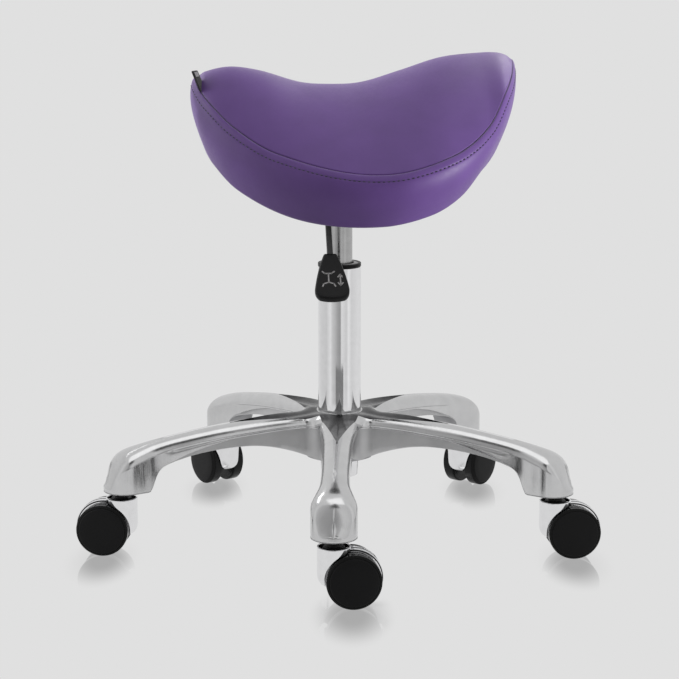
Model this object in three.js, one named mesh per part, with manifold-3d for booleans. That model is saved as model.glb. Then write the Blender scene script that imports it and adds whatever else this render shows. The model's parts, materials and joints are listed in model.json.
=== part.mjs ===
// A rolling saddle stool: a five-star base on twin-wheel casters, a gas lift, and a saddle seat
// worked by a lift lever. Millimetres, +Z up. The origin is on the floor, under the middle of the
// whole object's box. Every piece is drawn about the column's axis, which stands beside it.
import * as THREE from "three";
import { mergeVertices } from "three/addons/utils/BufferGeometryUtils.js";
import Module from "manifold-3d";

const wasm = await Module();
wasm.setup();

// ---------------------------------------------------------------- driving dimensions
const GAP = 0.3; // left between pieces that touch
const TUBE_SEGMENTS = 28;
const WHEEL_SEGMENTS = 20;
const SEAT_TURN = 4.5; // degrees the seat stands turned on the column
const BASE_TURN = -1.3; // degrees the star stands turned on the floor

const COLUMN = { x: 1.8, y: 9.5 }; // the column's axis, from the origin

const LEG_COUNT = 5;
const CASTER_CIRCLE = 260; // column axis to a caster's swivel axis
const LEG_FOOT = 73; // height of a leg tip's flat underside
const HUB = { radius: 31, bottom: 87, top: 150 };

const TUBE = { radius: 25, wall: 1.6, bottom: 72, top: 319.5, taperTop: 150, taperRadius: 21.5, floor: 5 };
const CYLINDER = { radius: 15, wall: 1.5, bottom: 172, top: 400, taperStart: 373, taperRadius: 13.4 };
const ROD = { radius: 5, bottom: 64, piston: 279 };

const WHEEL = { radius: 30, inner: 8.7, outer: 24.5, face: 25.5 };
const AXLE_HEIGHT = WHEEL.radius * Math.cos(Math.PI / WHEEL_SEGMENTS); // a facet rests on the floor
const TRAIL = 19.5; // caster swivel axis to its axle
const BARREL = { radius: 18, top: 64.5, bottom: 21 };
const HOOD_RADIUS = 33.5;
const WHEEL_CLEARANCE = 1.3; // between a wheel's tread and the barrel in front of it
const WEB_HALF = 7.5; // half the thickness of the hood between the wheels
const AXLE_RADIUS = 3;

const PIVOT = { y: -22, z: 404 }; // lever pivot, in the seat's own turned frame
const LEVER_X = -16.5; // the lever runs beside the column
const PLATE = { length: 114, width: 84, bottom: 417.5, thickness: 3.5 };
const PAN_THICKNESS = 8;

// ---------------------------------------------------------------- materials
function finish(color, roughness, metalness) {
  return new THREE.MeshStandardMaterial({ color, roughness, metalness });
}

const MATERIALS = {
  leatherette: finish(0x6a4c93, 0.5, 0),
  aluminium: finish(0xc9c9c9, 0.3, 1),
  chrome: finish(0xdcdcdc, 0.08, 1),
  steel: finish(0x9a9a9a, 0.35, 1),
  black_plastic: finish(0x1b1b1b, 0.45, 0),
  black_steel: finish(0x222222, 0.4, 0.6),
  tread: finish(0x161616, 0.5, 0),
  rubber: finish(0x121212, 0.8, 0),
  plywood: finish(0xb08a5a, 0.7, 0),
  ribbon: finish(0x141414, 0.7, 0),
};

// ---------------------------------------------------------------- solids
function solidOf(geometry) {
  const bare = new THREE.BufferGeometry();
  bare.setAttribute("position", geometry.getAttribute("position"));
  if (geometry.index) bare.setIndex(geometry.index);
  const merged = mergeVertices(bare, 1e-4);
  const mesh = new wasm.Mesh({
    numProp: 3,
    vertProperties: merged.attributes.position.array,
    triVerts: new Uint32Array(merged.index.array),
  });
  return new wasm.Manifold(mesh);
}

function geometryOf(solid) {
  const mesh = solid.getMesh();
  const positions = new Float32Array(mesh.vertProperties);
  const geometry = new THREE.BufferGeometry();
  geometry.setAttribute("position", new THREE.BufferAttribute(positions, 3));
  geometry.setIndex(new THREE.BufferAttribute(new Uint32Array(mesh.triVerts), 1));
  return geometry;
}

const join = (...geometries) => geometryOf(geometries.map(solidOf).reduce((a, b) => a.add(b)));
const common = (a, b) => geometryOf(solidOf(a).intersect(solidOf(b)));

function cut(body, ...tools) {
  return geometryOf(tools.map(solidOf).reduce((left, tool) => left.subtract(tool), solidOf(body)));
}

const radians = (degrees) => THREE.MathUtils.degToRad(degrees);

// A solid turned about the Z axis from [radius, height] points. An open profile ends on the axis.
function turned(points, segments = 20) {
  const profile = points.map(([r, z]) => new THREE.Vector2(r, z));
  return new THREE.LatheGeometry(profile, segments).rotateX(Math.PI / 2);
}

// A ring or a tube: inner and outer radius between two heights.
function ring(inner, outer, bottom, top, segments = 20) {
  return turned([[inner, bottom], [outer, bottom], [outer, top], [inner, top], [inner, bottom]], segments);
}

function disc(radius, bottom, top, segments = 16) {
  return turned([[0, bottom], [radius, bottom], [radius, top], [0, top]], segments);
}

function block(x, y, z, cx, cy, cz) {
  return new THREE.BoxGeometry(x, y, z).translate(cx, cy, cz);
}

// A cylinder that lies along Y, centred on a point.
function barAlongY(radius, from, to, x, z, segments = 12) {
  return new THREE.CylinderGeometry(radius, radius, to - from, segments)
    .translate(x, (from + to) / 2, z);
}

// A closed skin over rings of equal length. A ring of one point is a pole. Each four-sided face
// folds along its lower diagonal, so that skins which lie on each other fold alike.
function skin(rings, wraps = false) {
  const around = Math.max(...rings.map((r) => r.length));
  const positions = [];
  const at = (ringIndex, i) => {
    const r = rings[ringIndex % rings.length];
    return r[r.length === 1 ? 0 : i % around];
  };
  const face = (a, b, c) => {
    if (a !== b && b !== c && c !== a) positions.push(...a, ...b, ...c);
  };
  const bands = wraps ? rings.length : rings.length - 1;
  for (let k = 0; k < bands; k++)
    for (let i = 0; i < around; i++) {
      const [a, b, c, d] = [at(k, i), at(k, i + 1), at(k + 1, i + 1), at(k + 1, i)];
      if (a[2] + c[2] <= b[2] + d[2]) {
        face(a, b, c);
        face(a, c, d);
      } else {
        face(a, b, d);
        face(b, c, d);
      }
    }
  const geometry = new THREE.BufferGeometry();
  geometry.setAttribute("position", new THREE.BufferAttribute(new Float32Array(positions), 3));
  return geometry;
}

// A smooth curve through [x, y] points, read at x. It keeps level at both ends.
function through(points, x) {
  const last = points.length - 1;
  if (x <= points[0][0]) return points[0][1];
  if (x >= points[last][0]) return points[last][1];
  const k = points.findIndex((p) => p[0] > x) - 1;
  const slope = (i) => {
    if (i <= 0 || i >= last) return 0;
    return (points[i + 1][1] - points[i - 1][1]) / (points[i + 1][0] - points[i - 1][0]);
  };
  const span = points[k + 1][0] - points[k][0];
  const t = (x - points[k][0]) / span;
  const [a, b] = [points[k][1], points[k + 1][1]];
  const [da, db] = [slope(k) * span, slope(k + 1) * span];
  return a + da * t + (3 * (b - a) - 2 * da - db) * t * t + (2 * (a - b) + da + db) * t * t * t;
}

const root = new THREE.Group();
root.position.set(COLUMN.x, COLUMN.y, 0);
const seatFrame = new THREE.Group(); // everything that turns with the seat
seatFrame.rotation.z = radians(SEAT_TURN);
root.add(seatFrame);

function place(group, name, geometry, material) {
  const mesh = new THREE.Mesh(geometry, MATERIALS[material]);
  mesh.name = name;
  group.add(mesh);
  return mesh;
}

// ---------------------------------------------------------------- star base
// Down a leg from the column, by distance from the axis: top line, web's lower line, half width.
const LEG_TOP = [[0, 151], [60, 150], [111, 145], [150, 140.5], [185, 135], [215, 129.5],
  [237, 124.5], [258, 117.5], [271, 107.5], [280, 84]];
const LEG_WEB = [[0, 88], [30, 93], [52, 104], [84, 113], [114, 116], [158, 113], [192, 106],
  [219, 96], [231, LEG_FOOT]];
const LEG_HALF = [[0, 26], [30, 24], [60, 21], [100, 17.5], [150, 16], [200, 15.5], [222, 17],
  [240, 21.5], [256, 25]];
const LEG_STATIONS = [0, 30, 56, 84, 114, 150, 186, 210, 222, 230, 242, 256, 266, 274, 279];
const FOOT_RADIUS = 25;
const FOOT_CENTRE = 255;
const BEAD_DEPTH = 12;
const BEAD_ANGLES = [25, 58]; // where the bead's rounded shoulder has points
const STEP = 1.5; // height of the step under the bead
const WEB_INSET = 3;
const FOOT_FROM = 205; // the web widens into the round foot between these distances
const FOOT_TO = 240;
const FOOT_DEPTH = 4;

function legHalfWidth(r) {
  const half = through(LEG_HALF, r);
  return r > FOOT_CENTRE ? Math.sqrt(FOOT_RADIUS ** 2 - (r - FOOT_CENTRE) ** 2) : half;
}

// The rounded bead on top, a step in, and the flat web below it, as one cross-section.
function legSection(r) {
  const half = legHalfWidth(r);
  const top = through(LEG_TOP, r);
  const bottom = through(LEG_WEB, r);
  const foot = THREE.MathUtils.smoothstep(r, FOOT_FROM, FOOT_TO);
  const web = half - WEB_INSET * (1 - foot);
  const depth = Math.min(BEAD_DEPTH + FOOT_DEPTH * foot, top - bottom - 4);
  const halfPoints = [[web, bottom], [web, top - depth - STEP], [half, top - depth]];
  for (const angle of BEAD_ANGLES) {
    const a = radians(angle);
    halfPoints.push([half * Math.cos(a) ** 0.8, top - depth + depth * Math.sin(a) ** 0.9]);
  }
  const mirrored = halfPoints.map(([y, z]) => [-y, z]).reverse();
  return [...halfPoints, [0, top], ...mirrored].map(([y, z]) => [r, y, z]);
}

function centreOf(section) {
  const n = section.length;
  return [0, 1, 2].map((axis) => section.reduce((sum, p) => sum + p[axis], 0) / n);
}

function leg() {
  const sections = LEG_STATIONS.map(legSection);
  return skin([[centreOf(sections[0])], ...sections, [centreOf(sections.at(-1))]]);
}

// The hollow under a leg, in three bays with a rib between them.
const BAYS = [[34, 96], [99.5, 160], [163.5, 216]];
const CHANNEL_WALL = 4;
const CEILING_WALL = 9;
const CHAMFER = 4; // across the corners under the ceiling
const BELOW = 60; // cutting tools for the star start at this height, under all of it

function channelSection(r) {
  const half = legHalfWidth(r) - WEB_INSET - CHANNEL_WALL;
  const ceiling = through(LEG_TOP, r) - CEILING_WALL;
  const right = [[half, BELOW], [half, ceiling - CHAMFER], [half - CHAMFER, ceiling]];
  const left = right.map(([y, z]) => [-y, z]).reverse();
  return [...right, ...left].map(([y, z]) => [r, y, z]);
}

function bay([from, to]) {
  const sections = [from, (from + to) / 2, to].map(channelSection);
  return skin([[centreOf(sections[0])], ...sections, [centreOf(sections.at(-1))]]);
}

const STEM = { radius: 5.2, top: 97, bottom: 50, collar: 8.5, collarBottom: 62.5, foot: 3.6 };

const legAngle = (index) => BASE_TURN - 90 + (index * 360) / LEG_COUNT;

function taperedPlug(extra, bottom, top) {
  const radiusAt = (z) => {
    const t = (z - TUBE.bottom) / (TUBE.taperTop - TUBE.bottom);
    return THREE.MathUtils.lerp(TUBE.taperRadius, TUBE.radius, Math.min(t, 1)) + extra;
  };
  return turned([[0, bottom], [radiusAt(bottom), bottom], [radiusAt(TUBE.taperTop), TUBE.taperTop],
    [radiusAt(top), top], [0, top]], TUBE_SEGMENTS);
}

function starBase() {
  const hub = turned([[0, HUB.bottom], [HUB.radius - 3, HUB.bottom], [HUB.radius, HUB.bottom + 3],
    [HUB.radius, HUB.top - 6], [HUB.radius - 5, HUB.top], [0, HUB.top]], TUBE_SEGMENTS);
  const legs = [];
  const hollows = [];
  for (let i = 0; i < LEG_COUNT; i++) {
    const turn = radians(legAngle(i));
    const socket = disc(STEM.radius + GAP, BELOW, STEM.top + 2).translate(CASTER_CIRCLE, 0, 0);
    legs.push(leg().rotateZ(turn));
    hollows.push(...[...BAYS.map(bay), socket].map((hollow) => hollow.rotateZ(turn)));
  }
  return cut(join(hub, ...legs), ...hollows, taperedPlug(GAP, BELOW, HUB.top + 20));
}

place(root, "star_base", starBase(), "aluminium");

// ---------------------------------------------------------------- gas lift
function outerTube() {
  const inner = TUBE.radius - TUBE.wall;
  const lowInner = TUBE.taperRadius - TUBE.wall;
  const hole = ROD.radius + 1;
  const floorTop = TUBE.bottom + TUBE.floor;
  return turned([[hole, TUBE.bottom], [TUBE.taperRadius, TUBE.bottom], [TUBE.radius, TUBE.taperTop],
    [TUBE.radius, TUBE.top], [inner, TUBE.top], [inner, TUBE.taperTop], [lowInner, floorTop],
    [hole, floorTop], [hole, TUBE.bottom]], TUBE_SEGMENTS);
}

const BUSH_BOTTOM = 246;
const RING_TOP = 324;

place(root, "lift_outer_tube", outerTube(), "chrome");

const WIPER_GAP = 0.8; // between the top ring and the cylinder that slides in it

function topRing() {
  const bore = CYLINDER.radius + WIPER_GAP;
  const bottom = TUBE.top + GAP;
  return turned([[bore, bottom], [TUBE.radius, bottom], [TUBE.radius, RING_TOP - 1.5],
    [TUBE.radius - 2, RING_TOP], [bore, RING_TOP], [bore, bottom]], TUBE_SEGMENTS);
}

place(root, "guide_bush",
  ring(CYLINDER.radius + GAP, TUBE.radius - TUBE.wall - GAP, BUSH_BOTTOM, TUBE.top - 1),
  "black_plastic");
place(root, "top_ring", topRing(), "black_plastic");

// The thrust bearing stacks up from the tube's floor.
const STACK = { base: TUBE.bottom + TUBE.floor + GAP, washer: 2, bearing: 4, radius: 16 };
const bearingBottom = STACK.base + STACK.washer + GAP;
const upperWasher = bearingBottom + STACK.bearing + GAP;
const shoulder = upperWasher + STACK.washer + GAP;
const SHOULDER = { radius: 9, height: 5 };

place(root, "thrust_washer_lower",
  ring(ROD.radius + 1, STACK.radius, STACK.base, STACK.base + STACK.washer), "steel");
place(root, "thrust_bearing",
  ring(ROD.radius + 1, STACK.radius - 1, bearingBottom, bearingBottom + STACK.bearing), "steel");
place(root, "thrust_washer_upper",
  ring(ROD.radius + 1, STACK.radius, upperWasher, upperWasher + STACK.washer), "steel");
place(root, "bump_stop",
  ring(SHOULDER.radius + 0.5, STACK.radius + 1.5, shoulder, shoulder + 16), "rubber");
place(root, "piston_rod",
  turned([[0, ROD.bottom], [ROD.radius - 1, ROD.bottom], [ROD.radius - 1, ROD.bottom + 3],
    [ROD.radius, ROD.bottom + 3], [ROD.radius, shoulder], [SHOULDER.radius, shoulder],
    [SHOULDER.radius, shoulder + SHOULDER.height], [ROD.radius, shoulder + SHOULDER.height],
    [ROD.radius, ROD.piston], [0, ROD.piston]], 16), "steel");
place(root, "retaining_clip",
  ring(ROD.radius + GAP, ROD.radius + 5, TUBE.bottom - 2.3, TUBE.bottom - GAP, 16), "steel");
place(root, "piston_head",
  disc(CYLINDER.radius - CYLINDER.wall - GAP, ROD.piston + GAP, ROD.piston + 10), "black_plastic");

// ---------------------------------------------------------------- gas cylinder, turning with the seat
const VALVE_BLOCK = 350; // the cylinder is solid from here up, around the release pin
const PIN = { radius: 3.5, bottom: 382, top: 406.5, cap: 5.5 };

function gasCylinder() {
  const inner = CYLINDER.radius - CYLINDER.wall;
  const pinHole = PIN.radius + GAP;
  const shell = turned([[inner, CYLINDER.bottom], [CYLINDER.radius, CYLINDER.bottom],
    [CYLINDER.radius, CYLINDER.taperStart], [CYLINDER.taperRadius, CYLINDER.top], [0, CYLINDER.top],
    [0, VALVE_BLOCK], [inner, VALVE_BLOCK], [inner, CYLINDER.bottom]]);
  return cut(shell, disc(pinHole, PIN.bottom - 6, CYLINDER.top + 1, 12));
}

place(seatFrame, "gas_cylinder", gasCylinder(), "steel");
place(seatFrame, "cylinder_end_cap",
  ring(ROD.radius + GAP, CYLINDER.radius - CYLINDER.wall - GAP, CYLINDER.bottom,
    CYLINDER.bottom + 12, 16),
  "black_plastic");
place(seatFrame, "release_button",
  turned([[0, PIN.bottom], [PIN.radius, PIN.bottom], [PIN.radius, CYLINDER.top + 3.5],
    [PIN.cap, CYLINDER.top + 3.5], [PIN.cap, PIN.top], [0, PIN.top]], 12),
  "black_plastic");

// ---------------------------------------------------------------- seat mechanism
const TAPER_HUB = { radius: 20, bottom: 371, top: 398 };

function taperHub() {
  const mouth = CYLINDER.radius + GAP + 0.2;
  const throat = CYLINDER.taperRadius + GAP + 0.2;
  return turned([[mouth, TAPER_HUB.bottom], [TAPER_HUB.radius - 1.5, TAPER_HUB.bottom],
    [TAPER_HUB.radius, TAPER_HUB.bottom + 1.5], [TAPER_HUB.radius, TAPER_HUB.top], [throat, TAPER_HUB.top],
    [mouth, CYLINDER.taperStart], [mouth, TAPER_HUB.bottom]]);
}

const CHEEK = { inner: TAPER_HUB.radius + GAP, thickness: 3, bottom: 384, front: -33, back: 30 };
const PIVOT_RADIUS = 2.5;
const PLATE_CORNER = 18;
const BOLT = { x: 42, y: 30, radius: 3, head: 5.5, headHeight: 4, reach: 9 };
const BOLT_PLACES = [[1, 1], [1, -1], [-1, 1], [-1, -1]];

// A cylinder through the lever's pivot, along X.
function pivotBar(radius, length, segments = 16) {
  return new THREE.CylinderGeometry(radius, radius, length, segments)
    .rotateZ(Math.PI / 2).translate(0, PIVOT.y, PIVOT.z);
}

function cheek(side) {
  const height = PLATE.bottom + 1 - CHEEK.bottom;
  return block(CHEEK.thickness, CHEEK.back - CHEEK.front, height,
    side * (CHEEK.inner + CHEEK.thickness / 2), (CHEEK.back + CHEEK.front) / 2,
    CHEEK.bottom + height / 2);
}

function boltHoles(bottom, top) {
  return BOLT_PLACES.map(([sx, sy]) =>
    disc(BOLT.radius + GAP, bottom, top, 12).translate(sx * BOLT.x, sy * BOLT.y, 0));
}

function mountPlate() {
  const corner = PLATE_CORNER;
  const outline = new THREE.Shape();
  const [w, h] = [PLATE.length / 2, PLATE.width / 2];
  outline.moveTo(-w + corner, -h);
  outline.lineTo(w - corner, -h);
  outline.absarc(w - corner, -h + corner, corner, -Math.PI / 2, 0);
  outline.absarc(w - corner, h - corner, corner, 0, Math.PI / 2);
  outline.absarc(-w + corner, h - corner, corner, Math.PI / 2, Math.PI);
  outline.absarc(-w + corner, -h + corner, corner, Math.PI, 1.5 * Math.PI);
  const options = { depth: PLATE.thickness, bevelEnabled: false, curveSegments: 4 };
  const plate = new THREE.ExtrudeGeometry(outline, options).translate(0, 0, PLATE.bottom);
  const holes = boltHoles(PLATE.bottom - 1, PLATE.bottom + PLATE.thickness + 1);
  return cut(join(plate, cheek(-1), cheek(1)), ...holes, pivotBar(PIVOT_RADIUS + GAP, 60));
}

// A hexagon bolt up through the plate into the pan.
function plateBolt() {
  const head = PLATE.bottom - BOLT.headHeight;
  const tip = PLATE.bottom + BOLT.reach;
  return turned([[0, head], [BOLT.head, head], [BOLT.head, PLATE.bottom - GAP],
    [BOLT.radius, PLATE.bottom - GAP], [BOLT.radius, tip], [0, tip]], 12);
}

place(seatFrame, "taper_hub", taperHub(), "black_steel");
place(seatFrame, "mount_plate", mountPlate(), "black_steel");
place(seatFrame, "lever_pivot_pin",
  pivotBar(PIVOT_RADIUS, 2 * (CHEEK.inner + CHEEK.thickness) + 3), "steel");
BOLT_PLACES.forEach(([sx, sy], i) => {
  const bolt = place(seatFrame, `plate_bolt_${i + 1}`, plateBolt(), "steel");
  bolt.position.set(sx * BOLT.x, sy * BOLT.y, 0);
});

// ---------------------------------------------------------------- lever
const LEVER_RADIUS = 3.3;
const SLEEVE_RADIUS = 5.5;
const LEVER_FLATTENED = 0.6; // taken off the lever's half width
const PADDLE = { topY: -77.5, slope: 1.07, topHalf: 7.5, wideHalf: 19.5, thickness: 10, length: 61 };

// Height of the lever's centre line at a place across, in the seat's frame.
const leverZ = (y) => 361 + PADDLE.slope * (y + 60);

function leverSection(extra = 0) {
  const [across, along] = [LEVER_RADIUS - LEVER_FLATTENED + extra, LEVER_RADIUS + extra];
  return new THREE.Shape().absellipse(0, 0, across, along, 0, 2 * Math.PI);
}

function leverRod() {
  const path = new THREE.CatmullRomCurve3([
    new THREE.Vector3(LEVER_X, PIVOT.y, PIVOT.z),
    new THREE.Vector3(LEVER_X, PIVOT.y - 8, PIVOT.z - 4),
    new THREE.Vector3(LEVER_X, -45, leverZ(-45)),
    new THREE.Vector3(LEVER_X, -66, leverZ(-66)),
    new THREE.Vector3(LEVER_X, PADDLE.topY - 14, leverZ(PADDLE.topY - 14)),
  ]);
  const options = { steps: 8, curveSegments: 6, extrudePath: path };
  const stem = new THREE.ExtrudeGeometry(leverSection(), options);
  const sleeve = pivotBar(SLEEVE_RADIUS, 2 * CHEEK.inner - 1.2, 20);
  const finger = block(7, 25, 4, 0, PIVOT.y + 11.5, PIVOT.z + 5); // reaches over the release pin
  return cut(join(stem, sleeve, finger), pivotBar(PIVOT_RADIUS + GAP, 60));
}

// A flared pad with rounded corners, set along the lever's slope, with a socket for the stem.
function leverPaddle() {
  const { topHalf, wideHalf, length, thickness } = PADDLE;
  const outline = new THREE.Shape();
  outline.moveTo(-topHalf + 2, 0);
  outline.lineTo(topHalf - 2, 0);
  outline.quadraticCurveTo(topHalf, 0, topHalf + 0.6, -3);
  outline.quadraticCurveTo(topHalf + 3, -15, wideHalf - 1, -length + 15);
  outline.quadraticCurveTo(wideHalf + 1.5, -length + 5, wideHalf - 7, -length + 2);
  outline.quadraticCurveTo(0, -length - 2, -wideHalf + 7, -length + 2);
  outline.quadraticCurveTo(-wideHalf - 1.5, -length + 5, -wideHalf + 1, -length + 15);
  outline.quadraticCurveTo(-topHalf - 3, -15, -topHalf - 0.6, -3);
  outline.quadraticCurveTo(-topHalf, 0, -topHalf + 2, 0);
  const bevel = 2;
  const options = { depth: thickness - 2 * bevel, bevelThickness: bevel, bevelSize: bevel,
    bevelOffset: -bevel, bevelSegments: 1, curveSegments: 3 };
  // The outline is drawn flat, and tipped along the slope about its top edge.
  return new THREE.ExtrudeGeometry(outline, options)
    .translate(0, 0, -thickness / 2 + bevel)
    .rotateX(Math.atan(PADDLE.slope))
    .translate(LEVER_X, PADDLE.topY, leverZ(PADDLE.topY));
}

function leverSocket() {
  const [mouth, end] = [PADDLE.topY + 6, PADDLE.topY - 15.5];
  const path = new THREE.LineCurve3(new THREE.Vector3(LEVER_X, mouth, leverZ(mouth)),
    new THREE.Vector3(LEVER_X, end, leverZ(end)));
  const options = { steps: 1, curveSegments: 6, extrudePath: path };
  return new THREE.ExtrudeGeometry(leverSection(GAP), options);
}

place(seatFrame, "lever_rod", leverRod(), "black_steel");
place(seatFrame, "lever_paddle", cut(leverPaddle(), leverSocket()), "black_plastic");

// ---------------------------------------------------------------- saddle seat
// Plan outline of the seam: an ellipse behind the widest place, and a narrowing nose before it.
const OUTLINE = { middle: 43, rear: 153, nose: 207, half: 162, narrowing: 0.26 };
const EDGE_INSET = { rear: 18, nose: 14, side: 24 }; // the lower edge lies inside the seam
const BULGE = { rear: 8, nose: 9, side: 14 }; // how far the side panel swells outwards
const FULLEST = 0.7; // under 1, the swell is fullest above the panel's middle
// Heights round the seat, by degrees from the rear: the seam and the side panel's lower edge.
const SEAM_HEIGHT = [[0, 556], [27, 525], [43, 489], [63, 461], [95, 442], [125, 461], [143, 487],
  [158, 512], [180, 536]];
const EDGE_HEIGHT = [[0, 461], [38, 436], [54, 410], [70, 392], [97, 379.5], [120, 385.5], [146, 413],
  [163, 437], [180, 450]];
// Height along the middle of the top, from the nose to the rear.
const RIDGE = [[-164, 536], [-152, 543], [-124, 548.5], [-90, 544], [-45, 531], [-10, 528.4],
  [25, 530.5], [69, 543.5], [115, 558], [160, 563], [180, 563], [190, 560], [196, 556]];
const CROWN = 1.8; // how flat the top is across before it falls to the seam
const UNDERSIDE = PLATE.bottom + PLATE.thickness + PAN_THICKNESS + 2 * GAP;
const SEAT_SEGMENTS = 30;
// The underside, by share of the way out to the lower edge: level to the first place, then rising.
const UNDER_SHARES = [0.52, 0.64, 0.76, 0.88];
const UNDER_RISE = 1.4;

// A point of an outline with its semi-axes, at an angle from the rear.
function outlinePoint(angle, inset) {
  const c = Math.cos(angle);
  const along = c > 0 ? OUTLINE.rear - inset.rear : OUTLINE.nose - inset.nose;
  const narrow = c > 0 ? 1 : 1 + OUTLINE.narrowing * c;
  return [OUTLINE.middle + along * c, (OUTLINE.half - inset.side) * Math.sin(angle) * narrow];
}

const NO_INSET = { rear: 0, nose: 0, side: 0 };
const foldedDegrees = (angle) => {
  const degrees = THREE.MathUtils.radToDeg(angle) % 360;
  return degrees > 180 ? 360 - degrees : degrees;
};
const seamHeight = (angle) => through(SEAM_HEIGHT, foldedDegrees(angle));
const edgeHeight = (angle) => through(EDGE_HEIGHT, foldedDegrees(angle));

function topHeight(x, y) {
  const along = x > OUTLINE.middle ? OUTLINE.rear : OUTLINE.nose;
  const c = THREE.MathUtils.clamp((x - OUTLINE.middle) / along, -1, 1);
  const angle = Math.acos(c);
  const half = Math.abs(outlinePoint(angle, NO_INSET)[1]);
  const across = half < 0.5 ? 1 : Math.min(1, Math.abs(y) / half);
  const ridge = through(RIDGE, x);
  return ridge - (ridge - seamHeight(angle)) * across ** CROWN;
}

const angles = Array.from({ length: SEAT_SEGMENTS }, (_, i) => (2 * Math.PI * i) / SEAT_SEGMENTS);

function crownRing(share) {
  return angles.map((angle) => {
    const [x, y] = outlinePoint(angle, NO_INSET);
    const [px, py] = [x * share, y * share];
    return [px, py, share === 1 ? seamHeight(angle) : topHeight(px, py)];
  });
}

function sideRing(share) {
  return angles.map((angle) => {
    const seam = new THREE.Vector2(...outlinePoint(angle, NO_INSET));
    const edge = new THREE.Vector2(...outlinePoint(angle, EDGE_INSET));
    const [c, s] = [Math.cos(angle), Math.sin(angle)];
    const normal = new THREE.Vector2(OUTLINE.half * c, OUTLINE.rear * s).normalize();
    const end = c > 0 ? BULGE.rear : BULGE.nose;
    const swell = THREE.MathUtils.lerp(BULGE.side, end, c * c);
    const out = swell * Math.sin(Math.PI * share ** FULLEST);
    const { x, y } = seam.lerp(edge, share).addScaledVector(normal, out);
    return [x, y, THREE.MathUtils.lerp(seamHeight(angle), edgeHeight(angle), share)];
  });
}

// The arched underside, level over the mechanism, at a share of the way out to the lower edge.
function underRing(share, lowered = 0) {
  const level = UNDER_SHARES[0];
  const rise = ((share - level) / (1 - level)) ** UNDER_RISE;
  return angles.map((angle) => {
    const [x, y] = outlinePoint(angle, EDGE_INSET);
    return [x * share, y * share, THREE.MathUtils.lerp(UNDERSIDE, edgeHeight(angle), rise) - lowered];
  });
}

function seatCushion() {
  const top = [0.25, 0.5, 0.72, 0.88, 1].map(crownRing);
  const side = [0.15, 0.35, 0.6, 0.82, 1].map(sideRing);
  const under = UNDER_SHARES.map((share) => underRing(share)).reverse();
  return skin([[[0, 0, topHeight(0, 0)]], ...top, ...side, ...under, [[0, 0, UNDERSIDE]]].reverse());
}

function seatPan() {
  const top = UNDER_SHARES.map((share) => underRing(share, GAP));
  const bottom = UNDER_SHARES.map((share) => underRing(share, GAP + PAN_THICKNESS));
  const face = UNDERSIDE - GAP;
  const rings = [[[0, 0, face]], ...top, ...bottom.reverse(), [[0, 0, face - PAN_THICKNESS]]];
  return cut(skin(rings.reverse()), ...boltHoles(PLATE.bottom, PLATE.bottom + BOLT.reach + GAP));
}

// The thin dust cover that lines the pan's rising underside.
const COVER_THICKNESS = 1.5;

function bottomCover() {
  const shares = UNDER_SHARES.slice(1);
  const drop = 2 * GAP + PAN_THICKNESS;
  const top = shares.map((share) => underRing(share, drop));
  const bottom = shares.map((share) => underRing(share, drop + COVER_THICKNESS));
  return skin([...top, ...bottom.reverse()].reverse(), true);
}

const TAG = { thickness: 2.4, width: 14, height: 22, lean: 22, foot: [-156, -26, 524] };

// A folded ribbon that stands up from the seam at the nose.
function labelTag() {
  return block(TAG.thickness, TAG.width, TAG.height, 0, 0, TAG.height / 2)
    .rotateY(radians(-TAG.lean))
    .translate(...TAG.foot);
}

place(seatFrame, "seat_cushion", seatCushion(), "leatherette");
place(seatFrame, "seat_pan", seatPan(), "plywood");
place(seatFrame, "bottom_cover", bottomCover(), "black_plastic");
place(seatFrame, "label_tag", cut(labelTag(), seatCushion()), "ribbon");

// ---------------------------------------------------------------- casters
// Each caster is drawn with its swivel axis on Z and trails towards +X.
function casterStem() {
  const collarTop = LEG_FOOT - GAP;
  return turned([[0, STEM.bottom], [STEM.foot, STEM.bottom], [STEM.foot, STEM.collarBottom],
    [STEM.collar, STEM.collarBottom], [STEM.collar, collarTop], [STEM.radius, collarTop],
    [STEM.radius, STEM.top - 2], [STEM.radius - 2, STEM.top], [0, STEM.top]], 12);
}

const BUSH = { radius: 5.2, bottom: 46, cap: 13, capBottom: 59.8, top: 61.5 };

function casterBush() {
  const bore = STEM.foot + GAP;
  return turned([[bore, BUSH.bottom], [BUSH.radius, BUSH.bottom], [BUSH.radius, BUSH.capBottom],
    [BUSH.cap, BUSH.capBottom], [BUSH.cap, BUSH.top], [bore, BUSH.top], [bore, BUSH.bottom]], 14);
}

// The round barrel under the leg, and the web between the wheels, cut clear of them.
function casterHood() {
  const { radius, bottom, top } = BARREL;
  const barrel = turned([[0, bottom], [radius - 7, bottom], [radius - 2, bottom + 5],
    [radius, bottom + 13], [radius, top - 1], [radius - 1, top], [0, top]]);
  const web = common(
    barAlongY(HOOD_RADIUS, -WEB_HALF, WEB_HALF, TRAIL, AXLE_HEIGHT, WHEEL_SEGMENTS),
    block(90, 20, 60, TRAIL, 0, AXLE_HEIGHT + 25),
  );
  const pocketRadius = WHEEL.radius + WHEEL_CLEARANCE;
  const pockets = [[WEB_HALF, 40], [-40, -WEB_HALF]].map(([from, to]) =>
    barAlongY(pocketRadius, from, to, TRAIL, AXLE_HEIGHT, WHEEL_SEGMENTS));
  const axleHole = barAlongY(AXLE_RADIUS + GAP, -20, 20, TRAIL, AXLE_HEIGHT);
  const bushHole = disc(BUSH.radius + GAP, BUSH.bottom - GAP, BARREL.top, 14);
  const capHole = disc(BUSH.cap + GAP, BUSH.capBottom - GAP, BARREL.top + 5, 14);
  return cut(join(barrel, web), ...pockets, axleHole, bushHole, capHole);
}

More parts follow.
